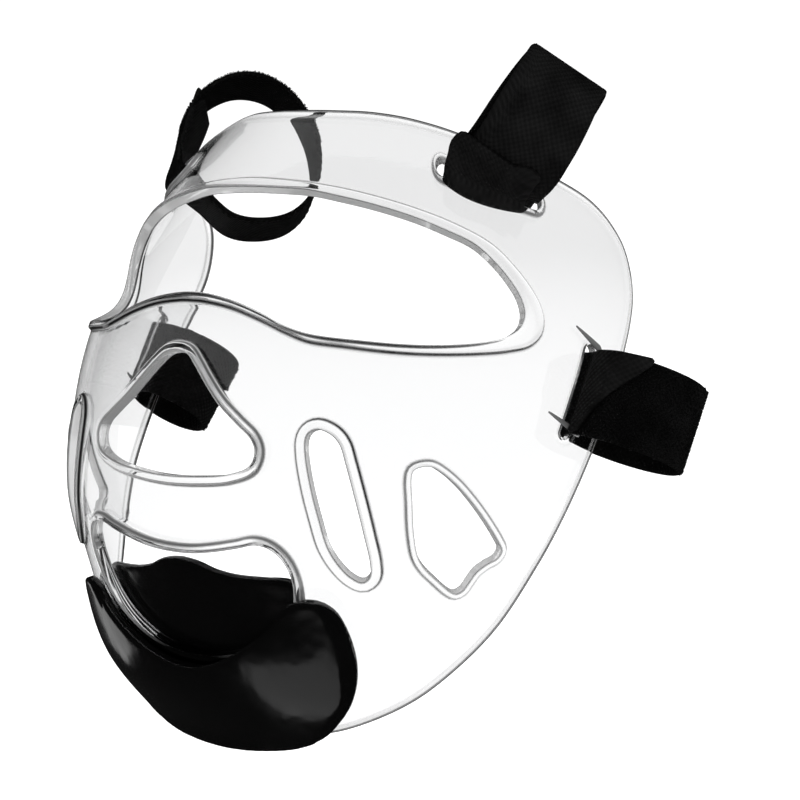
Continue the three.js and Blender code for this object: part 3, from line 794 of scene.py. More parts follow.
@dataclass
class ChinCup:
    """The glossy cup that grips the shell's lower edge between two walls, in mm.

    It is turned by ``turn`` degrees on the shell, round a point at ``turn_height``. Its ears begin
    at ``ear_from`` in the flat drawing, and their end faces slope by ``end_slope`` over
    ``end_reach``. The values that end in ``round`` are the radii of its corners, and ``fillet`` is
    the one where its forms meet.
    """

    form: FaceForm
    gap: float = 0.45
    outer_wall: float = 3.5
    inner_wall: float = 2.6
    turn: float = 3.4
    turn_height: float = -126.0
    ear_from: float = 40.0
    end_reach: float = 3.8
    end_slope: float = 0.5
    end_round: float = 0.2
    front_round: float = 0.8
    back_round: float = 0.9
    lip_round: float = 1.6
    fillet: float = 0.5
    outline_step: float = 1.5
    mouth_step: float = 1.0
    margin: float = 3.0
    cell: tuple[float, float, float] = (0.7, 0.7, 0.42)

    def seated(self, half: Outline) -> np.ndarray:
        """Draws a loop turned to the way that the cup sits on the shell.

        Args:
            half: The outline's left half.

        Returns:
            The loop, anticlockwise.
        """
        loop = self.form.middle_loop(half, self.outline_step)
        turn = math.radians(self.turn)
        spin = np.array([[math.cos(turn), math.sin(turn)], [-math.sin(turn), math.cos(turn)]])
        pivot = np.array([0, self.turn_height])
        return (loop - pivot) @ spin + pivot

    @staticmethod
    def signed(points: np.ndarray, loop: np.ndarray) -> np.ndarray:
        """Distance to a loop, negative inside it."""
        return loop_distance(points, loop) * np.where(inside_loop(points, loop), -1, 1)

    @staticmethod
    def both(a: np.ndarray, b: np.ndarray, radius: float) -> np.ndarray:
        """Finds the depth in two forms at once.

        Args:
            a: Depth in one form.
            b: Depth in the other.
            radius: Radius of the corner where they meet.

        Returns:
            The depth, negative inside both.
        """
        u, v = np.maximum(a + radius, 0), np.maximum(b + radius, 0)
        return np.minimum(np.maximum(a + radius, b + radius), 0) + np.hypot(u, v) - radius

    @staticmethod
    def either(a: np.ndarray, b: np.ndarray, radius: float) -> np.ndarray:
        """Depth in one form or another, with a fillet of a radius where they meet."""
        return -ChinCup.both(-a, -b, radius)

    def build(self) -> Piece:
        """Makes the cup's mesh from its rounded forms.

        Returns:
            The piece.
        """
        rim = ClearShell.mouth
        outer, inner = self.seated(CUP_OUTER), self.seated(CUP_INNER)
        shell_edge = self.form.middle_loop(PERIMETER, self.outline_step)
        mouth = self.form.middle_loop(MOUTH_OPENING, self.mouth_step)
        rim_room = mouth + outward(mouth) * (rim.width + self.gap)
        inner_top = -SHELL_WALL - self.gap
        inner_low = inner_top - self.inner_wall
        outer_top = self.gap + self.outer_wall
        low = np.minimum(outer.min(0), inner.min(0)) - self.margin
        high = np.maximum(outer.max(0), inner.max(0)) + self.margin
        starts = (*low, inner_low - self.margin / 2)
        ends = (*high, outer_top + self.margin / 2)
        axes = [np.arange(*span) for span in zip(starts, ends, self.cell)]
        across, up = np.meshgrid(axes[0], axes[1], indexing="ij")
        flat = np.stack([across.ravel(), up.ravel()], axis=1)
        d_outer, d_inner, d_shell, d_room = (
            self.signed(flat, loop).reshape(*across.shape, 1)
            for loop in (outer, inner, shell_edge, rim_room)
        )
        rise = axes[2]

        def layer(bottom: float, top: float) -> np.ndarray:
            """Depth in a flat layer between two rises."""
            return np.maximum(bottom - rise, rise - top)

        sideways = np.clip(np.abs(np.gradient(d_outer[..., 0], self.cell[0], axis=0)), 0, 1)
        ear_end = (self.end_reach * sideways * (np.abs(across) > self.ear_from))[..., None]
        slope = rise - outer_top + self.end_slope * (d_outer + ear_end)
        room = np.maximum(d_room, rise - (rim.rise + self.gap))
        front = self.both(d_outer, layer(self.gap, outer_top), self.front_round)
        front = self.both(front, slope / math.hypot(1, self.end_slope), self.end_round)
        front = np.maximum(front, -room)
        back = self.both(d_inner, layer(inner_low, inner_top), self.back_round)
        below = np.maximum(d_outer, self.gap - d_shell)
        lip = self.both(below, layer(inner_low, outer_top), self.lip_round)
        depth = self.either(self.either(front, lip, self.fillet), back, self.fillet)
        points, faces = surface_net(depth, axes)
        return new_piece("moulded_chin_cup", self.form.wrap(points[:, :2], points[:, 2]), faces)


def surface_net(depth: np.ndarray, axes: list[np.ndarray]) -> tuple[np.ndarray, list]:
    """Skins the place where a depth field on a grid is zero.

    Args:
        depth: One number for each grid point, negative inside the solid.
        axes: The grid's places along each of its three directions.

    Returns:
        Points, and four-cornered faces that point out of the solid.
    """
    sizes = depth.shape
    inside = depth < 0
    total = np.zeros(tuple(s - 1 for s in sizes) + (3,))
    crossings = np.zeros(tuple(s - 1 for s in sizes))
    corners = [(i, j, k) for i in (0, 1) for j in (0, 1) for k in (0, 1)]

    def cube(array: np.ndarray, at: tuple[int, int, int]) -> np.ndarray:
        """The array read at one corner of every cell."""
        return array[tuple(slice(a, s - 1 + a) for a, s in zip(at, sizes))]

    for a in corners:
        for direction in range(3):
            if a[direction]:
                continue
            b = tuple(v + (axis == direction) for axis, v in enumerate(a))
            da, db = cube(depth, a), cube(depth, b)
            cut = cube(inside, a) != cube(inside, b)
            share = np.where(cut, da / np.where(cut, da - db, 1), 0)
            crossings += cut
            for axis in range(3):
                total[..., axis] += cut * (a[axis] + (share if axis == direction else 0))
    cells = crossings > 0
    number = np.full(cells.shape, -1)
    number[cells] = np.arange(cells.sum())
    where = np.argwhere(cells)
    local = total[cells] / crossings[cells][:, None]
    points = np.stack([
        axes[k][0] + (where[:, k] + local[:, k]) * (axes[k][1] - axes[k][0]) for k in range(3)
    ], axis=1)

    faces = []
    for direction in range(3):
        ahead = [slice(None)] * 3
        behind = [slice(None)] * 3
        ahead[direction], behind[direction] = slice(1, None), slice(None, -1)
        change = inside[tuple(behind)] != inside[tuple(ahead)]
        at = np.argwhere(change)
        u, v = [axis for axis in range(3) if axis != direction]
        at = at[(at[:, u] > 0) & (at[:, v] > 0) & (at[:, u] < sizes[u] - 1) & (at[:, v] < sizes[v] - 1)]
        step_u, step_v = np.eye(3, dtype=int)[u], np.eye(3, dtype=int)[v]
        ring = [at - step_u - step_v, at - step_v, at, at - step_u]
        quads = np.stack([number[tuple(c.T)] for c in ring], axis=1)
        out = inside[tuple(at.T)]
        if direction == 1:
            out = ~out
        quads[~out] = quads[~out][:, ::-1]
        faces += quads.tolist()
    return points, faces

# ---- Ribs by the lower slots ---------------------------------------------------------------------


@dataclass
class SlotRibs:
    """Small tapered ribs moulded on the shell, from the ends of the lower strap slots, in mm.

    ``tip_size`` is how big the section is at the tip, ``taper`` the power that it grows by, and
    ``root_fall`` how much is lost again over the last part of the way, ``root_part``.
    """

    form: FaceForm
    tips: tuple[tuple[float, float], ...] = ((73.7, -2.1), (66.2, -25.2))
    roots: tuple[tuple[float, float], ...] = ((79.0, -9.6), (72.6, -32.6))
    half_width: float = 1.15
    rise: float = 0.8
    lift: float = 0.02
    tip_size: float = 0.22
    taper: float = 0.8
    root_fall: float = 0.5
    root_part: float = 0.1
    # How dark the painted shade on the ribs is.
    painted_edge_shade: float = 0.85
    steps: int = 18
    section_points: int = 7

    def size(self, share: float) -> float:
        """How big the section is at a share of the way from the tip to the root."""
        fall = self.root_fall * max(0, share - (1 - self.root_part)) / self.root_part
        return self.tip_size + (1 - self.tip_size) * share ** self.taper - fall

    def build(self) -> Piece:
        """Makes the four ribs as one mesh of closed forms.

        Returns:
            The piece.
        """
        turns = np.linspace(0, math.pi, self.section_points)
        count = self.section_points
        last = (self.steps - 1) * count
        quads = grid_faces(self.steps, count, ringed=True)
        quads += [tuple(range(count))[::-1], tuple(range(last, last + count))]
        points, faces = [], []
        for side in Side:
            for tip, root in zip(self.tips, self.roots):
                start, end = self.form.flatten((tip, root))
                across = unit(np.array([end[1] - start[1], start[0] - end[0]]))
                base = len(points) * count
                faces += [tuple(base + corner for corner in quad[::-side.value]) for quad in quads]
                for share in np.linspace(0, 1, self.steps):
                    size = self.size(share)
                    flat = start + (end - start) * share
                    flat = flat + np.cos(turns)[:, None] * across * self.half_width * size
                    section = self.form.wrap(flat, self.lift + np.sin(turns) * self.rise * size)
                    points.append(section * (side.value, 1, 1))
        ribs = new_piece("slot_ribs", np.vstack(points), faces)
        # Painted shade over the whole of each rib, as on the shell's moulded edges.
        paint(ribs, "wall_edge", np.full(len(ribs.data.vertices), self.painted_edge_shade))
        return ribs


# ---- Straps --------------------------------------------------------------------------------------


@dataclass(frozen=True)
class Layer:
    """A second layer pressed onto a band, from one place along it to another, in mm.

    ``offset``, ``skew`` and ``bow`` move it sideways. A ``straight`` one spans the band's curve,
    and ``tuck`` presses one selvage down. ``corner`` is the radius of its loose end's corners. It
    lies ``gap`` above what is under it, but its start is pressed down to ``first_lift`` of its
    height, and it is clear only after ``lift_part`` of its length.
    """

    start: float
    end: float
    end_slant: float = 0.0
    offset: float = 0.0
    skew: float = 0.0
    bow: float = 0.0
    straight: bool = False
    tuck: float = 0.0
    corner: float = 2.2
    steps: int = 72
    gap: float = 0.12
    first_lift: float = 0.3
    lift_part: float = 0.25
    skew_power: float = 1.5


@dataclass(frozen=True)
class Sag:
    """How a band folds down over its slot's rim.

    ``depth`` in mm is most at the place ``peak`` across the width, and ``less`` of it is gone at
    the selvages. Lengths are measured where the ``mean`` part of it is left. For each knot of the
    fold, ``fold`` has the mm beyond what the slot holds, and the part of the depth.
    """

    depth: float
    peak: float = 0.0
    less: float = 0.45
    mean: float = 0.8
    fold: tuple[tuple[float, float], ...] = ((0.4, 0.62), (1.9, 1.0), (3.9, 0.66))


@dataclass
class WebbingStrap:
    """A band of hook-and-loop webbing closed into a loop, in mm and the slot's own frame.

    ``reach`` is half the loop's length and ``bulge`` half its thickness, which grows by ``belly``
    towards its end. ``hang_in`` turns the loop inwards, ``lean_out`` and ``lean_edge`` tilt its
    width, ``shift`` and ``seat`` move it along and across the slot, and ``sink`` moves it inwards.
    The slot holds it for ``hold`` each way, and after ``free`` it lies as the loop does.

    ``first_turn``, ``last_turn`` and ``turn_step`` are the loop's knots in degrees. ``stitched``
    and ``piled`` are the parts of the band's length with seams and with pile, and ``seam_at``,
    ``seam_end`` and ``pile_edge`` are places across it, where 1 is the selvage. The cross seams
    are ``seam_inset`` stations inside the others' ends.
    """

    form: FaceForm
    name: str
    side: Side
    slot: StrapSlot
    reach: float
    bulge: float
    belly: float
    hang_in: float
    lean_out: float
    lean_edge: float
    shift: float
    seat: float
    layers: tuple[Layer, ...]
    sag: Sag = Sag(0.0)
    width: float = 25.0
    thickness: float = 1.6
    sink: float = 0.4
    hold: float = 2.6
    free: float = 12.0
    first_turn: int = 55
    last_turn: int = 305
    turn_step: int = 25
    knot_steps: int = 18
    places: int = 23
    blunt: float = 0.98
    stitched: tuple[float, float] = (0.52, 0.93)
    piled: tuple[float, float] = (0.1, 0.55)
    seam_at: float = 0.86
    seam_end: float = 0.8
    seam_inset: int = 2
    pile_edge: float = 0.97
    patch_places: int = 13

    @staticmethod
    def square_to(direction: np.ndarray, other: np.ndarray) -> np.ndarray:
        """The part of a direction that is square to another, as a unit vector."""
        return unit(direction - other * (direction @ other))

    def frame(self) -> tuple[np.ndarray, np.ndarray, np.ndarray, np.ndarray]:
        """Finds how the slot lies on the shell.

        Returns:
            The middle of the slot's wall, and the directions along the slot, out of the shell and
            towards the shell's edge.
        """
        a, b = np.array(self.slot.start), np.array(self.slot.end)
        middle = (a + b) / 2
        start, end, centre = (self.form.skin(*place[:, None])[0] for place in (a, b, middle))
        along = unit(end - start)
        out = self.form.normal(*middle[:, None])[0]
        edge = unit(np.cross(out, along))
        return centre + out * ((RIM_RISE - SHELL_WALL) / 2 - self.sink), along, out, edge

    def line(self, sag: float) -> tuple[np.ndarray, np.ndarray]:
        """The band's middle line and its width direction, at every station.

        Args:
            sag: How far the line dips over the slot's rim, in mm.

        Returns:
            Points and unit directions, one row each.
        """
        centre, along, out, edge = self.frame()
        slot = centre + along * self.shift + edge * self.seat
        axis = unit(along + out * self.lean_out + edge * self.lean_edge)
        hang = self.square_to(edge - out * self.hang_in, axis)
        across = unit(-np.cross(hang, axis))
        middle = slot + hang * self.reach
        loop, fold = [], []
        for degrees in range(self.first_turn, self.last_turn + 1, self.turn_step):
            turn = math.radians(degrees)
            rise = self.bulge * math.sin(turn) * (1 + self.belly * (1 - math.cos(turn)) / 2)
            loop.append(middle - hang * self.reach * math.cos(turn) + across * rise)
        if self.sag.depth:
            fold = [slot + out * (self.hold + mm) - edge * sag * part for mm, part in self.sag.fold]
        knots = np.array([slot, slot + out * self.hold, *fold, *loop, slot - out * self.hold])
        line = knot_curve(knots, self.knot_steps)
        away = np.linalg.norm(line - slot, axis=1) - self.hold
        freed = eased(np.clip(away / (self.free - self.hold), 0, 1))[:, None]
        return line, unit(along * (1 - freed) + axis * freed)

    def surface(self, across: np.ndarray) -> tuple[np.ndarray, np.ndarray, np.ndarray]:
        """The band's middle surface.

        Args:
            across: Places across its width, from -1 to 1.

        Returns:
            Points and outward normals for each station and place, and how far along the
            band each station is, with the first one again at the end.
        """
        plain, wide = self.line(0.0)
        dipped, _ = self.line(self.sag.depth)
        off = across - self.sag.peak
        reach = np.where(off > 0, 1 - self.sag.peak, 1 + self.sag.peak)
        bow = 1 - self.sag.less * (off / reach) ** 2
        points = plain[:, None] + (dipped - plain)[:, None] * bow[None, :, None]
        points = points + wide[:, None] * (across * self.width / 2)[None, :, None]
        along = np.roll(points, -1, 0) - np.roll(points, 1, 0)
        normals = unit(np.cross(np.broadcast_to(wide[:, None], points.shape), along))
        middle = plain + (dipped - plain) * self.sag.mean
        steps = np.linalg.norm(np.roll(middle, -1, 0) - middle, axis=1)
        return points, normals, np.concatenate([[0], np.cumsum(steps)])

    def outer_face(self, across: np.ndarray) -> tuple[np.ndarray, np.ndarray]:
        """Finds points on the outside of the band.

        Args:
            across: Places across its width, from -1 to 1.

        Returns:
            Points in metres for each station and place, and how far along each station is.
        """
        points, normals, run = self.surface(across)
        return (points + normals * (self.thickness / 2)) * (self.side.value, 1, 1) * MM, run

    def place_across(self) -> np.ndarray:
        """Places across the width, closer together at the rounded selvages."""
        return np.sin(np.linspace(-math.pi / 2, math.pi / 2, self.places))

    def half_thickness(self, across: np.ndarray) -> np.ndarray:
        """Finds half the webbing's thickness, which is round at the selvages.

        Args:
            across: Places across the width.

        Returns:
            One thickness in mm for each place, to multiply directions with.
        """
        edge = self.thickness / self.width
        inward = np.clip((np.abs(across) - 1 + edge) / edge, 0, self.blunt)
        return (self.thickness / 2 * np.sqrt(1 - inward ** 2))[None, :, None]

    def slab(self, name: str, middle: np.ndarray, half: np.ndarray, run: np.ndarray,
             closed: bool) -> Piece:
        """Makes a solid of webbing round its middle surface.

        Args:
            name: The piece's name.
            middle: Points of the surface, by station and place across.
            half: How far the outer face lies from each, as a vector.
            run: How far along the band each station or point is.
            closed: Whether the last station joins the first.

        Returns:
            The piece, which knows where its weave runs.
        """
        ring = np.concatenate([middle + half, (middle - half)[:, ::-1]], axis=1)
        count, width = ring.shape[:2]
        across = self.place_across()
        weave = np.zeros(ring.shape)
        weave[..., 0] = run
        weave[..., 1] = np.concatenate([across, across[::-1]]) * self.width / 2
        faces = grid_faces(count, width, ringed=True, looped=closed)
        for first, way in () if closed else ((0, -1), ((count - 1) * width, 1)):
            faces += [
                (first + at, first + at + 1, first + width - 2 - at, first + width - 1 - at)[::way]
                for at in range(width // 2 - 1)
            ]
        points = ring.reshape(-1, 3) * (self.side.value, 1, 1) * MM
        piece = new_piece(name, points, [face[::self.side.value] for face in faces])
        paint(piece, "weave", weave.reshape(-1, 3))
        return piece

    def build(self) -> Piece:
        """Makes the band's mesh, a closed loop of one thickness.

        Returns:
            The piece.
        """
        across = self.place_across()
        points, normals, run = self.surface(across)
        half = normals * self.half_thickness(across)
        return self.slab("webbing_" + self.name, points, half, run[:-1, None], True)

    def build_layer(self, number: int) -> Piece:
        """Makes one of the layers that lie on the band, open at its ends.

        Args:
            number: Which of them, from 0.

        Returns:
            The piece.
        """
        across = self.place_across()
        points, normals, run = self.surface(across)
        kind = self.layers[number]
        share = np.linspace(0, 1, kind.steps)[:, None]
        cut_in = np.clip(1 - (1 - np.abs(across)) * self.width / 2 / kind.corner, 0, 1)
        end = kind.end + kind.end_slant * across - kind.corner * (1 - np.sqrt(1 - cut_in ** 2))
        at = kind.start + (end[None, :] - kind.start) * share
        station = np.interp(at % run[-1], run, np.arange(len(run)))
        low = np.floor(station).astype(int) % len(points)
        high = (low + 1) % len(points)
        part = (station - np.floor(station))[..., None]
        column = np.broadcast_to(np.arange(len(across)), at.shape)
        middle = points[low, column] * (1 - part) + points[high, column] * part
        normal = normals[low, column] * (1 - part) + normals[high, column] * part
        if kind.straight:
            middle = middle[:1] * (1 - share[..., None]) + middle[-1:] * share[..., None]
        wide = unit(np.gradient(middle, axis=1))
        aside = kind.offset + kind.skew * share ** kind.skew_power
        middle = middle + wide * (aside + kind.bow * np.sin(share * math.pi))[..., None]
        middle = middle - normal * (kind.tuck * (1 + across) / 2)[None, :, None]
        rise = eased(np.clip(share / kind.lift_part, 0, 1))[..., None]
        stack = number + kind.first_lift + (1 - kind.first_lift) * rise
        middle = middle + normal * (self.thickness + kind.gap) * stack
        run_along = np.concatenate([at, at[:, ::-1]], axis=1)
        name = f"layer_{number + 1}_{self.name}"
        return self.slab(name, middle, normal * self.half_thickness(across), run_along, False)

    def seams(self) -> list[np.ndarray]:
        """Draws the lines for the stitches.

        Returns:
            Points in metres of each line: along both selvages, and across the band twice.
        """
        inner = np.linspace(-self.seam_end, self.seam_end, self.patch_places)
        top, run = self.outer_face(np.array([-self.seam_at, *inner, self.seam_at]))
        near, far = np.searchsorted(run, [run[-1] * part for part in self.stitched])
        lines = [top[near:far, column] for column in (0, -1)]
        return lines + [top[row, 1:-1] for row in (near + self.seam_inset, far - self.seam_inset)]

    def pile_patch(self) -> tuple[np.ndarray, list]:
        """Finds the part of the band's outer face that has loop pile.

        Returns:
            Its points in metres, and its faces.
        """
        top, run = self.outer_face(np.linspace(-self.pile_edge, self.pile_edge, self.patch_places))
        first, last = np.searchsorted(run, [run[-1] * part for part in self.piled])
        quads = grid_faces(last - first, self.patch_places)
        return top[first:last].reshape(-1, 3), [quad[::self.side.value] for quad in quads]


# ---- Node trees ----------------------------------------------------------------------------------


class NodeTree:
    """A node tree that is given each node with its options, values and links."""

    def __init__(self, tree: bpy.types.NodeTree) -> None:
        """Takes over a tree.

        Args:
            tree: The tree to add nodes to.
        """
        self.tree = tree

    def node(self, kind: str, way: dict[str, object] | None = None, **inputs: object) -> bpy.types.Node:
        """Adds a node.

        Args:
            kind: The node's type.
            way: Options to set on it first.
            inputs: Values or outputs for its inputs, by name.

        Returns:
            The node.
        """
        made = self.tree.nodes.new(kind)
        for option, choice in (way or {}).items():
            setattr(made, option, choice)
        self.feed(made, **inputs)
        return made

    def feed(self, node: bpy.types.Node, *numbered: object, **named: object) -> None:
        """Links outputs to a node's inputs, or sets the inputs.

        Args:
            node: The node.
            numbered: Values or outputs for its first inputs, in their order.
            named: Values or outputs for its other inputs, by name.
        """
        places = [*enumerate(numbered), *((name.replace("_", " "), v) for name, v in named.items())]
        for place, value in places:
            if isinstance(value, Socket):
                self.tree.links.new(value, node.inputs[place])
            else:
                node.inputs[place].default_value = value

    def math(self, operation: str, *values: object, clamp: bool = False) -> Socket:
        """Adds a calculation.

        Args:
            operation: Which one.
            values: Its numbers, or the outputs that give them.
            clamp: Whether the result is kept between 0 and 1.

        Returns:
            The result.
        """
        made = self.node("ShaderNodeMath", {"operation": operation, "use_clamp": clamp})
        self.feed(made, *values)
        return made.outputs[0]

    def ramp(self, value: Socket, low: float, high: float, first: float = 0.0, last: float = 1.0,
             way: str = "LINEAR") -> Socket:
        """Turns one range of numbers into another.

        Args:
            value: The number.
            low: What it becomes at ``first``.
            high: What it becomes at ``last``.
            first: One end of its own range.
            last: The other end.
            way: How it runs between them.

        Returns:
            The result.
        """
        return self.node("ShaderNodeMapRange", {"interpolation_type": way}, Value=value,
                         From_Min=first, From_Max=last, To_Min=low, To_Max=high).outputs["Result"]

    def mix(self, kind: str, factor: Socket, a: object, b: object) -> Socket:
        """Mixes two values.

        Args:
            kind: What they are, FLOAT or RGBA.
            factor: How much of the second there is.
            a: The first.
            b: The second.

        Returns:
            The result.
        """
        return self.node("ShaderNodeMix", {"data_type": kind}, Factor=factor, A=a, B=b).outputs["Result"]

    def mark(self, name: str, output: str = "Fac") -> Socket:
        """What a piece's mesh has stored under a name."""
        return self.node("ShaderNodeAttribute", {"attribute_name": name}).outputs[output]

    def object_place(self) -> Socket:
        """The place on the piece, in metres."""
        return self.node("ShaderNodeTexCoord").outputs["Object"]


# ---- What repeats --------------------------------------------------------------------------------


class RepeatTree(NodeTree):
    """A Geometry Nodes tree with named sizes, which ends in real faces of one material."""

    def __init__(self, name: str, sizes: dict[str, float]) -> None:
        """Makes the tree and its inputs.

        Args:
            name: The tree's name.
            sizes: Its inputs and their values.
        """
        super().__init__(bpy.data.node_groups.new(name, "GeometryNodeTree"))
        self.sizes = sizes
        face = self.tree.interface
        face.new_socket("Base", in_out="INPUT", socket_type="NodeSocketGeometry")
        for label in sizes:
            face.new_socket(label, in_out="INPUT", socket_type="NodeSocketFloat")
        face.new_socket("Made", in_out="OUTPUT", socket_type="NodeSocketGeometry")
        self.given = self.node("NodeGroupInput").outputs

    def end(self, instances: Socket, material: Material) -> None:
        """Ends the tree: instances become real faces with a material.

        Args:
            instances: The instances.
            material: Their finish.
        """
        real = self.node("GeometryNodeRealizeInstances", Geometry=instances)
        dressed = self.node("GeometryNodeSetMaterial", Geometry=real.outputs[0], Material=material)
        self.feed(self.node("NodeGroupOutput"), dressed.outputs[0])

    def grow(self, name: str, points: np.ndarray, edges: list, faces: list) -> Piece:
        """Runs the tree on a mesh.

        Args:
            name: The piece's name.
            points: Points in metres of the mesh that the repeated shapes follow.
            edges: Its loose edges.
            faces: Its faces.

        Returns:
            A plain mesh object at the origin.
        """
        base = bpy.data.meshes.new(name)
        base.from_pydata([tuple(map(float, p)) for p in points], edges, faces)
        holder = bpy.data.objects.new(name + "_base", base)
        bpy.context.scene.collection.objects.link(holder)
        modifier = holder.modifiers.new("repeat", "NODES")
        modifier.node_group = self.tree
        for item in self.tree.interface.items_tree:
            if item.in_out == "INPUT" and item.name in self.sizes:
                modifier[item.identifier] = self.sizes[item.name]
        graph = bpy.context.evaluated_depsgraph_get()
        mesh = bpy.data.meshes.new_from_object(holder.evaluated_get(graph), depsgraph=graph)
        bpy.data.objects.remove(holder)
        mesh.name = name
        piece = bpy.data.objects.new(name, mesh)
        bpy.context.scene.collection.objects.link(piece)
        return piece


@dataclass
class Stitching:
    """Rows of short stitches, in mm, each a long ball with a few ``segments`` and ``rings``."""

    pitch: float = 2.4
    length: float = 1.7
    thickness: float = 0.38
    segments: int = 6
    rings: int = 5

    def sew(self, name: str, lines: list[np.ndarray], material: Material) -> Piece:
        """Sews stitches along lines.

        Args:
            name: The piece's name.
            lines: Points of each line, in metres.
            material: The thread's finish.

        Returns:
            The stitches as one piece.
        """
        sizes = {"Pitch": self.pitch * MM, "Length": self.length * MM, "Thickness": self.thickness * MM}
        tree = RepeatTree("stitch_rows", sizes)
        curve = tree.node("GeometryNodeMeshToCurve", Mesh=tree.given["Base"])
        spaced = tree.node("GeometryNodeResampleCurve", {"mode": "LENGTH"}, Curve=curve.outputs[0],
                           Length=tree.given["Pitch"])
        heading = tree.node("GeometryNodeInputTangent")
        turned = tree.node("FunctionNodeAlignRotationToVector", {"axis": "X"},
                           Vector=heading.outputs[0])
        thread = tree.node("GeometryNodeMeshUVSphere", Segments=self.segments, Rings=self.rings,
                           Radius=0.5)
        scale = tree.node("ShaderNodeCombineXYZ", X=tree.given["Length"], Y=tree.given["Thickness"],
                          Z=tree.given["Thickness"])
        rows = tree.node("GeometryNodeInstanceOnPoints", Points=spaced.outputs[0],
                         Instance=thread.outputs["Mesh"], Rotation=turned.outputs[0],
                         Scale=scale.outputs[0])
        tree.end(rows.outputs[0], material)
        edges, start = [], 0
        for line in lines:
            edges += [(start + k, start + k + 1) for k in range(len(line) - 1)]
            start += len(line)
        return tree.grow(name, np.vstack(lines), edges, [])


@dataclass
class Pile:
    """The short tufts of the loop side, in mm, and how many grow on a square millimetre.

    ``tip`` is a tuft's radius at its top as a part of that at its foot, and ``lean`` is how far
    in radians it may lean and turn to either side.
    """

    density: float = 3.2
    height: float = 0.55
    radius: float = 0.2
    sides: int = 4
    tip: float = 0.35
    lean: tuple[float, float, float] = (0.7, 0.7, 3.1)
    seed: int = 7

    def grow(self, name: str, points: np.ndarray, faces: list, material: Material) -> Piece:
        """Grows tufts on a patch.

        Args:
            name: The piece's name.
            points: The patch's points, in metres.
            faces: Its faces.
            material: The pile's finish.

        Returns:
            The tufts as one piece.
        """
        sizes = {"Density": self.density / MM ** 2, "Height": self.height * MM, "Radius": self.radius * MM}
        tree = RepeatTree("loop_pile", sizes)
        spread = tree.node("GeometryNodeDistributePointsOnFaces", Mesh=tree.given["Base"],
                           Density=tree.given["Density"], Seed=self.seed)
        tuft = tree.node("GeometryNodeMeshCone", Vertices=self.sides, Radius_Bottom=1.0,
                         Radius_Top=self.tip, Depth=1.0)
        tilt = tree.node("FunctionNodeRandomValue", {"data_type": "FLOAT_VECTOR"})
        tree.feed(tilt, tuple(-turn for turn in self.lean), self.lean)
        turned = tree.node("FunctionNodeRotateRotation", {"rotation_space": "LOCAL"},
                           Rotation=spread.outputs["Rotation"], Rotate_By=tilt.outputs[0])
        scale = tree.node("ShaderNodeCombineXYZ", X=tree.given["Radius"], Y=tree.given["Radius"],
                          Z=tree.given["Height"])
        tufts = tree.node("GeometryNodeInstanceOnPoints", Points=spread.outputs["Points"],
                          Instance=tuft.outputs["Mesh"], Rotation=turned.outputs[0],
                          Scale=scale.outputs[0])
        tree.end(tufts.outputs[0], material)
        return tree.grow(name, points, [], faces)


# ---- Finishes ------------------------------------------------------------------------------------

NOISE_SPAN = (0.3, 0.7)
WHITE = (1.0, 1.0, 1.0, 1.0)
BLACK = (0.0, 0.0, 0.0, 1.0)


def grey(value: float) -> tuple[float, float, float, float]:
    """A colour without a hue."""
    return (value, value, value, 1.0)


class Finish(NodeTree):
    """A material with one Principled shader."""

    def __init__(self, name: str, **inputs: object) -> None:
        """Makes the material.

        Args:
            name: The material's name.
            inputs: Plain values for the shader's inputs, by name.
        """
        self.material = bpy.data.materials.new(name)
        self.material.use_nodes = True
        super().__init__(self.material.node_tree)
        self.shader = self.tree.nodes["Principled BSDF"]
        self.feed(self.shader, **inputs)

    def noise(self, scale: float, low: float, high: float, detail: float = 4.0) -> Socket:
        """Adds soft noise that stays with the piece.

        Args:
            scale: Patches to a metre.
            low: Lowest value.
            high: Highest value.
            detail: Octaves.

        Returns:
            The noise.
        """
        grain = self.node("ShaderNodeTexNoise", Vector=self.object_place(), Scale=scale, Detail=detail)
        return self.ramp(grain.outputs["Fac"], low, high, *NOISE_SPAN)

    def bump(self, height: Socket, depth: float) -> None:
        """Raises the finish by a height pattern.

        Args:
            height: The pattern.
            depth: How far a height of 1 stands out, in metres.
        """
        relief = self.node("ShaderNodeBump", Distance=depth, Height=height)
        self.feed(self.shader, Normal=relief.outputs["Normal"])


@dataclass(frozen=True)
class ClearPlastic:
    """Water-clear moulded plastic with a faint haze of handling. Its edges carry painted shade, the
    openings' cut walls painted light, and the part behind the cup a painted shadow.

    ``haze`` is the noise of its roughness: patches to a metre, lowest and highest.
    """

    ior: float = 1.585
    tint: tuple[float, float, float] = (0.895, 0.897, 0.9)
    haze: tuple[float, float, float] = (90, 0.008, 0.026)
    # The painted edge shade and the painted light on cut walls: the grey each paints, and how clear each
    # leaves the plastic.
    painted_edge_grey: float = 0.006
    edge_clearness: float = 0.08
    painted_wall_light_grey: float = 0.72
    cut_clearness: float = 0.1

    def make(self) -> Material:
        """Builds the material.

        Returns:
            The material.
        """
        finish = Finish("clear_plastic", Transmission_Weight=1.0, IOR=self.ior)
        edge, cut, shadow = (finish.mark("wall_" + name) for name in ("edge", "light", "shadow"))
        # Painted shade on the edges, painted light on the cut walls, and the cup's painted shadow in
        # black.
        colour = finish.mix("RGBA", edge, (*self.tint, 1), grey(self.painted_edge_grey))
        colour = finish.mix("RGBA", cut, colour, grey(self.painted_wall_light_grey))
        colour = finish.mix("RGBA", shadow, colour, BLACK)
        edge_clear = finish.ramp(edge, 1.0, self.edge_clearness)
        clear = finish.math("MULTIPLY", edge_clear, finish.ramp(cut, 1.0, self.cut_clearness))
        finish.feed(finish.shader, Base_Color=colour, Transmission_Weight=clear,
                    Roughness=finish.noise(*self.haze))
        return finish.material


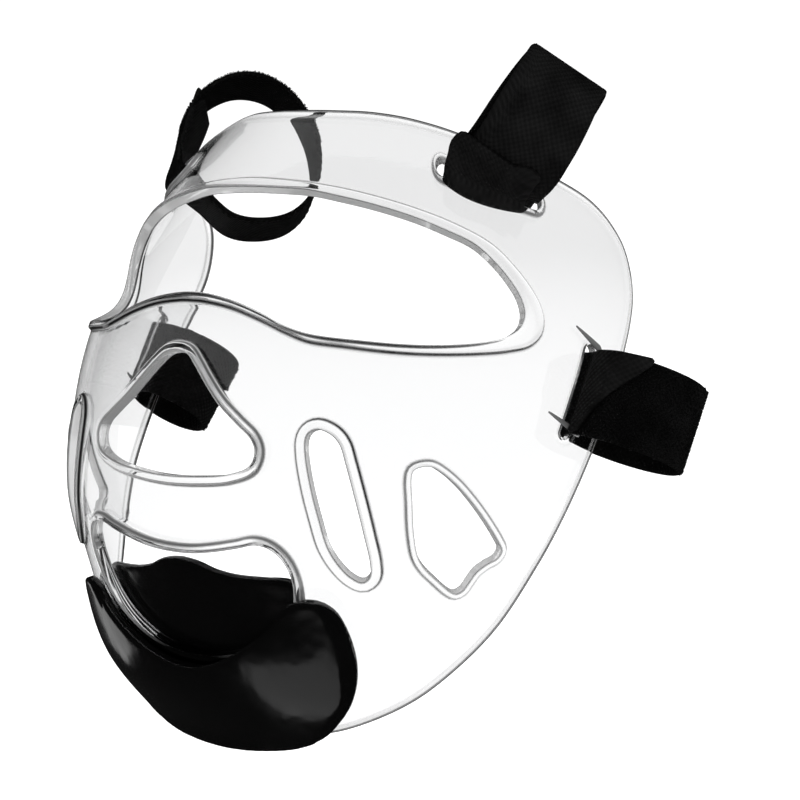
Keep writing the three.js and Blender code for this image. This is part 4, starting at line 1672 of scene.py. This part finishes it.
@dataclass(frozen=True)
class GlossyBlack:
    """Glossy black moulded plastic, a little uneven and rubbed.

    ``rubbed`` is the noise of its roughness and ``uneven`` that of its relief, which is ``depth``
    metres high: patches to a metre, lowest, highest and octaves.
    """

    tone: float = 0.001
    blue: float = 1.05
    rubbed: tuple[float, float, float] = (110, 0.11, 0.2)
    uneven: tuple[float, float, float, float] = (150, 0.0, 1.0, 1.0)
    depth: float = 0.00005

    def make(self) -> Material:
        """Builds the material.

        Returns:
            The material.
        """
        finish = Finish("glossy_black", Base_Color=(self.tone, self.tone, self.tone * self.blue, 1))
        finish.feed(finish.shader, Roughness=finish.noise(*self.rubbed))
        finish.bump(finish.noise(*self.uneven), self.depth)
        return finish.material


@dataclass(frozen=True)
class BlackWebbing:
    """Matte black webbing in a plain weave, with painted shade in the hollows of its yarns and a
    patchy tone.

    A yarn is ``yarn`` mm wide and stands out by ``depth`` metres. ``weave_shade`` is the share of
    the tone in the hollows and on the crests of the yarns, painted shade in the hollows and a painted
    highlight on the crests, and ``patchy`` is its share in the darkest and the palest patches, of
    which there are ``patches`` to a metre.
    """

    name: str
    tone: float
    yarn: float = 0.9
    depth: float = 0.00014
    roughness: float = 0.85
    sheen: float = 0.15
    weave_shade: tuple[float, float] = (0.7, 1.3)
    patches: float = 120
    patchy: tuple[float, float] = (0.6, 1.5)

    def make(self) -> Material:
        """Builds the material.

        Returns:
            The material.
        """
        finish = Finish(self.name, Roughness=self.roughness, Specular_IOR_Level=self.sheen)
        place = finish.node("ShaderNodeSeparateXYZ", Vector=finish.mark("weave", "Vector"))
        yarns = finish.math("MULTIPLY", *(
            finish.math("SINE", finish.math("MULTIPLY", place.outputs[axis], math.pi / self.yarn))
            for axis in ("X", "Y")
        ))
        finish.bump(yarns, self.depth)
        # Painted shade in the hollows of the weave and a painted highlight on its crests.
        weave_shade = finish.ramp(yarns, *self.weave_shade, first=-1.0)
        patches = finish.noise(self.patches, *(self.tone * part for part in self.patchy))
        shade = finish.math("MULTIPLY", weave_shade, patches)
        colour = finish.node("ShaderNodeCombineColor", Red=shade, Green=shade, Blue=shade)
        finish.feed(finish.shader, Base_Color=colour.outputs[0])
        return finish.material


# ---- Studio --------------------------------------------------------------------------------------

CHIN = (0.02, -0.08, -0.105)


@dataclass(frozen=True)
class Lamp:
    """A soft rectangular light that faces a target, in metres and watts.

    Only a ``mirrored`` one shows in what shines.
    """

    name: str
    place: tuple[float, float, float]
    target: tuple[float, float, float]
    size: tuple[float, float]
    power: float
    mirrored: bool = True

    def hang(self) -> None:
        """Adds the light to the scene."""
        data = bpy.data.lights.new(self.name, "AREA")
        data.shape = "RECTANGLE"
        data.size, data.size_y = self.size
        data.energy = self.power
        light = bpy.data.objects.new(self.name, data)
        light.location = self.place
        light.visible_camera = False
        light.visible_glossy = self.mirrored
        light.visible_transmission = False
        heading = Vector(self.target) - Vector(self.place)
        light.rotation_euler = heading.to_track_quat("-Z", "Y").to_euler()
        bpy.context.scene.collection.objects.link(light)


@dataclass
class Studio:
    """Camera, floor, world and lights, in degrees and metres.

    ``glow`` is the world's brightness below and above the horizon, and ``glow_span`` the slope of
    view that it changes over. It is ``seen_glow`` for the camera and ``mirror_glow`` in what
    shines. ``floor_glow`` is the floor's brightness near its middle and far out, ``floor_span`` the
    distances that it changes over, and ``floor_seen`` what is added for the camera.
    """

    azimuth: float = 40.887
    elevation: float = 4.027
    roll: float = -0.218
    distance: float = 0.705
    lens: float = 100.1
    film: float = 36.0
    shift_y: float = -0.125
    clip: tuple[float, float] = (0.01, 50.0)
    glow: tuple[float, float] = (1.04, 1.01)
    glow_span: tuple[float, float] = (-0.07, 0.03)
    seen_glow: float = 1.1
    mirror_glow: float = 0.015
    floor_half: float = 40.0
    floor_low: float = -0.32
    floor_grey: float = 0.75
    floor_roughness: float = 0.9
    floor_glow: tuple[float, float] = (0.44, 0.27)
    floor_span: tuple[float, float] = (2.0, 7.5)
    floor_seen: float = 0.25
    lamps: tuple[Lamp, ...] = (
        Lamp("key", (0.9, -0.9, 1.1), (0, 0, 0), (0.7, 0.7), 9, mirrored=False),
        Lamp("side", (1.2, 0.2, 0.1), (0, 0, -0.05), (0.5, 0.9), 4, mirrored=False),
        Lamp("chin_card", (0.005, -0.185, -0.263), CHIN, (0.15, 0.13), 0.04),
        Lamp("side_card", (0.49, 0.158, -0.235), CHIN, (0.26, 0.15), 0.22),
        Lamp("far_card", (-0.5, -0.07, -0.273), CHIN, (0.16, 0.16), 0.07),
        Lamp("rear_card", (0.14, 0.42, -0.12), CHIN, (0.2, 0.3), 0.12),
    )

    def camera(self) -> None:
        """Sets up the camera."""
        az, el = math.radians(self.azimuth), math.radians(self.elevation)
        view = Vector((-math.sin(az) * math.cos(el), math.cos(az) * math.cos(el), -math.sin(el)))
        right = Vector((math.cos(az), math.sin(az), 0))
        turn = Matrix((right, right.cross(view), -view)).transposed()
        turn = turn @ Matrix.Rotation(math.radians(self.roll), 3, "Z")
        data = bpy.data.cameras.new("camera")
        data.lens = self.lens
        data.sensor_width = self.film
        data.shift_y = self.shift_y
        data.clip_start, data.clip_end = self.clip
        camera = bpy.data.objects.new("camera", data)
        camera.matrix_world = Matrix.Translation(-view * self.distance) @ turn.to_4x4()
        bpy.context.scene.collection.objects.link(camera)
        bpy.context.scene.camera = camera

    def world(self) -> None:
        """A white surround for what is seen, and a dim one for what is reflected."""
        world = bpy.data.worlds.new("studio")
        bpy.context.scene.world = world
        world.use_nodes = True
        tree = NodeTree(world.node_tree)
        way = tree.node("ShaderNodeTexCoord").outputs["Generated"]
        up = tree.node("ShaderNodeSeparateXYZ", Vector=way).outputs["Z"]
        ray = tree.node("ShaderNodeLightPath").outputs
        glow = tree.ramp(up, *self.glow, *self.glow_span, "SMOOTHSTEP")
        seen = tree.mix("FLOAT", ray["Is Camera Ray"], glow, self.seen_glow)
        mirrored = tree.math("SUBTRACT", ray["Is Glossy Ray"], ray["Is Transmission Ray"], clamp=True)
        strength = tree.mix("FLOAT", mirrored, seen, self.mirror_glow)
        tree.feed(world.node_tree.nodes["Background"], Color=WHITE, Strength=strength)

    def floor(self) -> None:
        """Lays the pale floor."""
        sides = ((-1, -1), (1, -1), (1, 1), (-1, 1))
        points = [(x * self.floor_half, y * self.floor_half, self.floor_low) for x, y in sides]
        floor = new_piece("floor", np.array(points), [(0, 1, 2, 3)], smooth=False)
        finish = Finish("pale_floor", Base_Color=grey(self.floor_grey), Emission_Color=WHITE,
                        Roughness=self.floor_roughness)
        away = finish.node("ShaderNodeVectorMath", {"operation": "LENGTH"})
        finish.feed(away, finish.object_place())
        glow = finish.ramp(away.outputs["Value"], *self.floor_glow, *self.floor_span, "SMOOTHSTEP")
        ray = finish.node("ShaderNodeLightPath").outputs["Is Camera Ray"]
        strength = finish.math("MULTIPLY_ADD", ray, self.floor_seen, glow)
        finish.feed(finish.shader, Emission_Strength=strength)
        floor.data.materials.append(finish.material)
        floor.visible_glossy = False

    def build(self) -> None:
        """Sets up the whole studio."""
        self.camera()
        self.world()
        self.floor()
        for lamp in self.lamps:
            lamp.hang()
        bpy.context.scene.view_settings.view_transform = "Standard"


# ---- The whole -----------------------------------------------------------------------------------


def dress(piece: Piece, node: str | None, material: Material | None = None) -> None:
    """Gives a piece its finish and puts it on the object.

    Args:
        piece: The piece.
        node: The solid that it stands for, if it does.
        material: Its finish, unless it has one.
    """
    if material:
        piece.data.materials.clear()
        piece.data.materials.append(material)
    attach(piece, "root")
    if node:
        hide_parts(node)
    log.info("%s: %d faces", piece.name, len(piece.data.polygons))


def main() -> None:
    """Builds every piece."""
    form = FaceForm()
    Studio().build()
    clear = ClearPlastic().make()
    dress(ClearShell(form).build(), "clear_shell", clear)
    dress(ChinCup(form).build(), "chin_cup", GlossyBlack().make())
    dress(SlotRibs(form).build(), None, clear)
    webbing = BlackWebbing("black_webbing", tone=0.0012).make()
    lapped = BlackWebbing("black_pile_webbing", tone=0.0034).make()
    straps = [
        WebbingStrap(form, "upper_strap_left", Side.LEFT, UPPER_SLOT, reach=19.9, bulge=19.6,
                     belly=0.05, hang_in=-0.31, lean_out=-0.16, lean_edge=-0.2, shift=1.1,
                     seat=1.8, sag=Sag(5.6, -0.2),
                     layers=(Layer(3, 54, bow=4.8), Layer(2, 20.2, offset=0.4, skew=-5.2, corner=3.6))),
        WebbingStrap(form, "upper_strap_right", Side.RIGHT, UPPER_SLOT, reach=22.2, bulge=21.3,
                     belly=0.3, hang_in=0.8, lean_out=-0.08, lean_edge=0.1, shift=-1.5,
                     seat=0.5, layers=(Layer(4, 30, straight=True, tuck=6),)),
        WebbingStrap(form, "lower_strap_left", Side.LEFT, LOWER_SLOT, reach=17, bulge=16.6,
                     belly=0.02, hang_in=-0.58, lean_out=-0.11, lean_edge=0.05, shift=1.4,
                     seat=1.4, layers=(Layer(2.5, 15, end_slant=-9.5, skew=-1.3),)),
        WebbingStrap(form, "lower_strap_right", Side.RIGHT, LOWER_SLOT, reach=14.5, bulge=11,
                     belly=0.44, hang_in=0.88, lean_out=0.09, lean_edge=-0.11, shift=1.5,
                     seat=0.7, layers=(Layer(2.5, 18, end_slant=4),)),
    ]
    thread = Stitching()
    pile = Pile()
    for strap in straps:
        dress(strap.build(), strap.name, webbing)
        for number in range(len(strap.layers)):
            dress(strap.build_layer(number), None, lapped)
        dress(thread.sew("stitches_" + strap.name, strap.seams(), webbing), None)
        dress(pile.grow("pile_" + strap.name, *strap.pile_patch(), lapped), None)


if __name__ == "__main__":
    main()
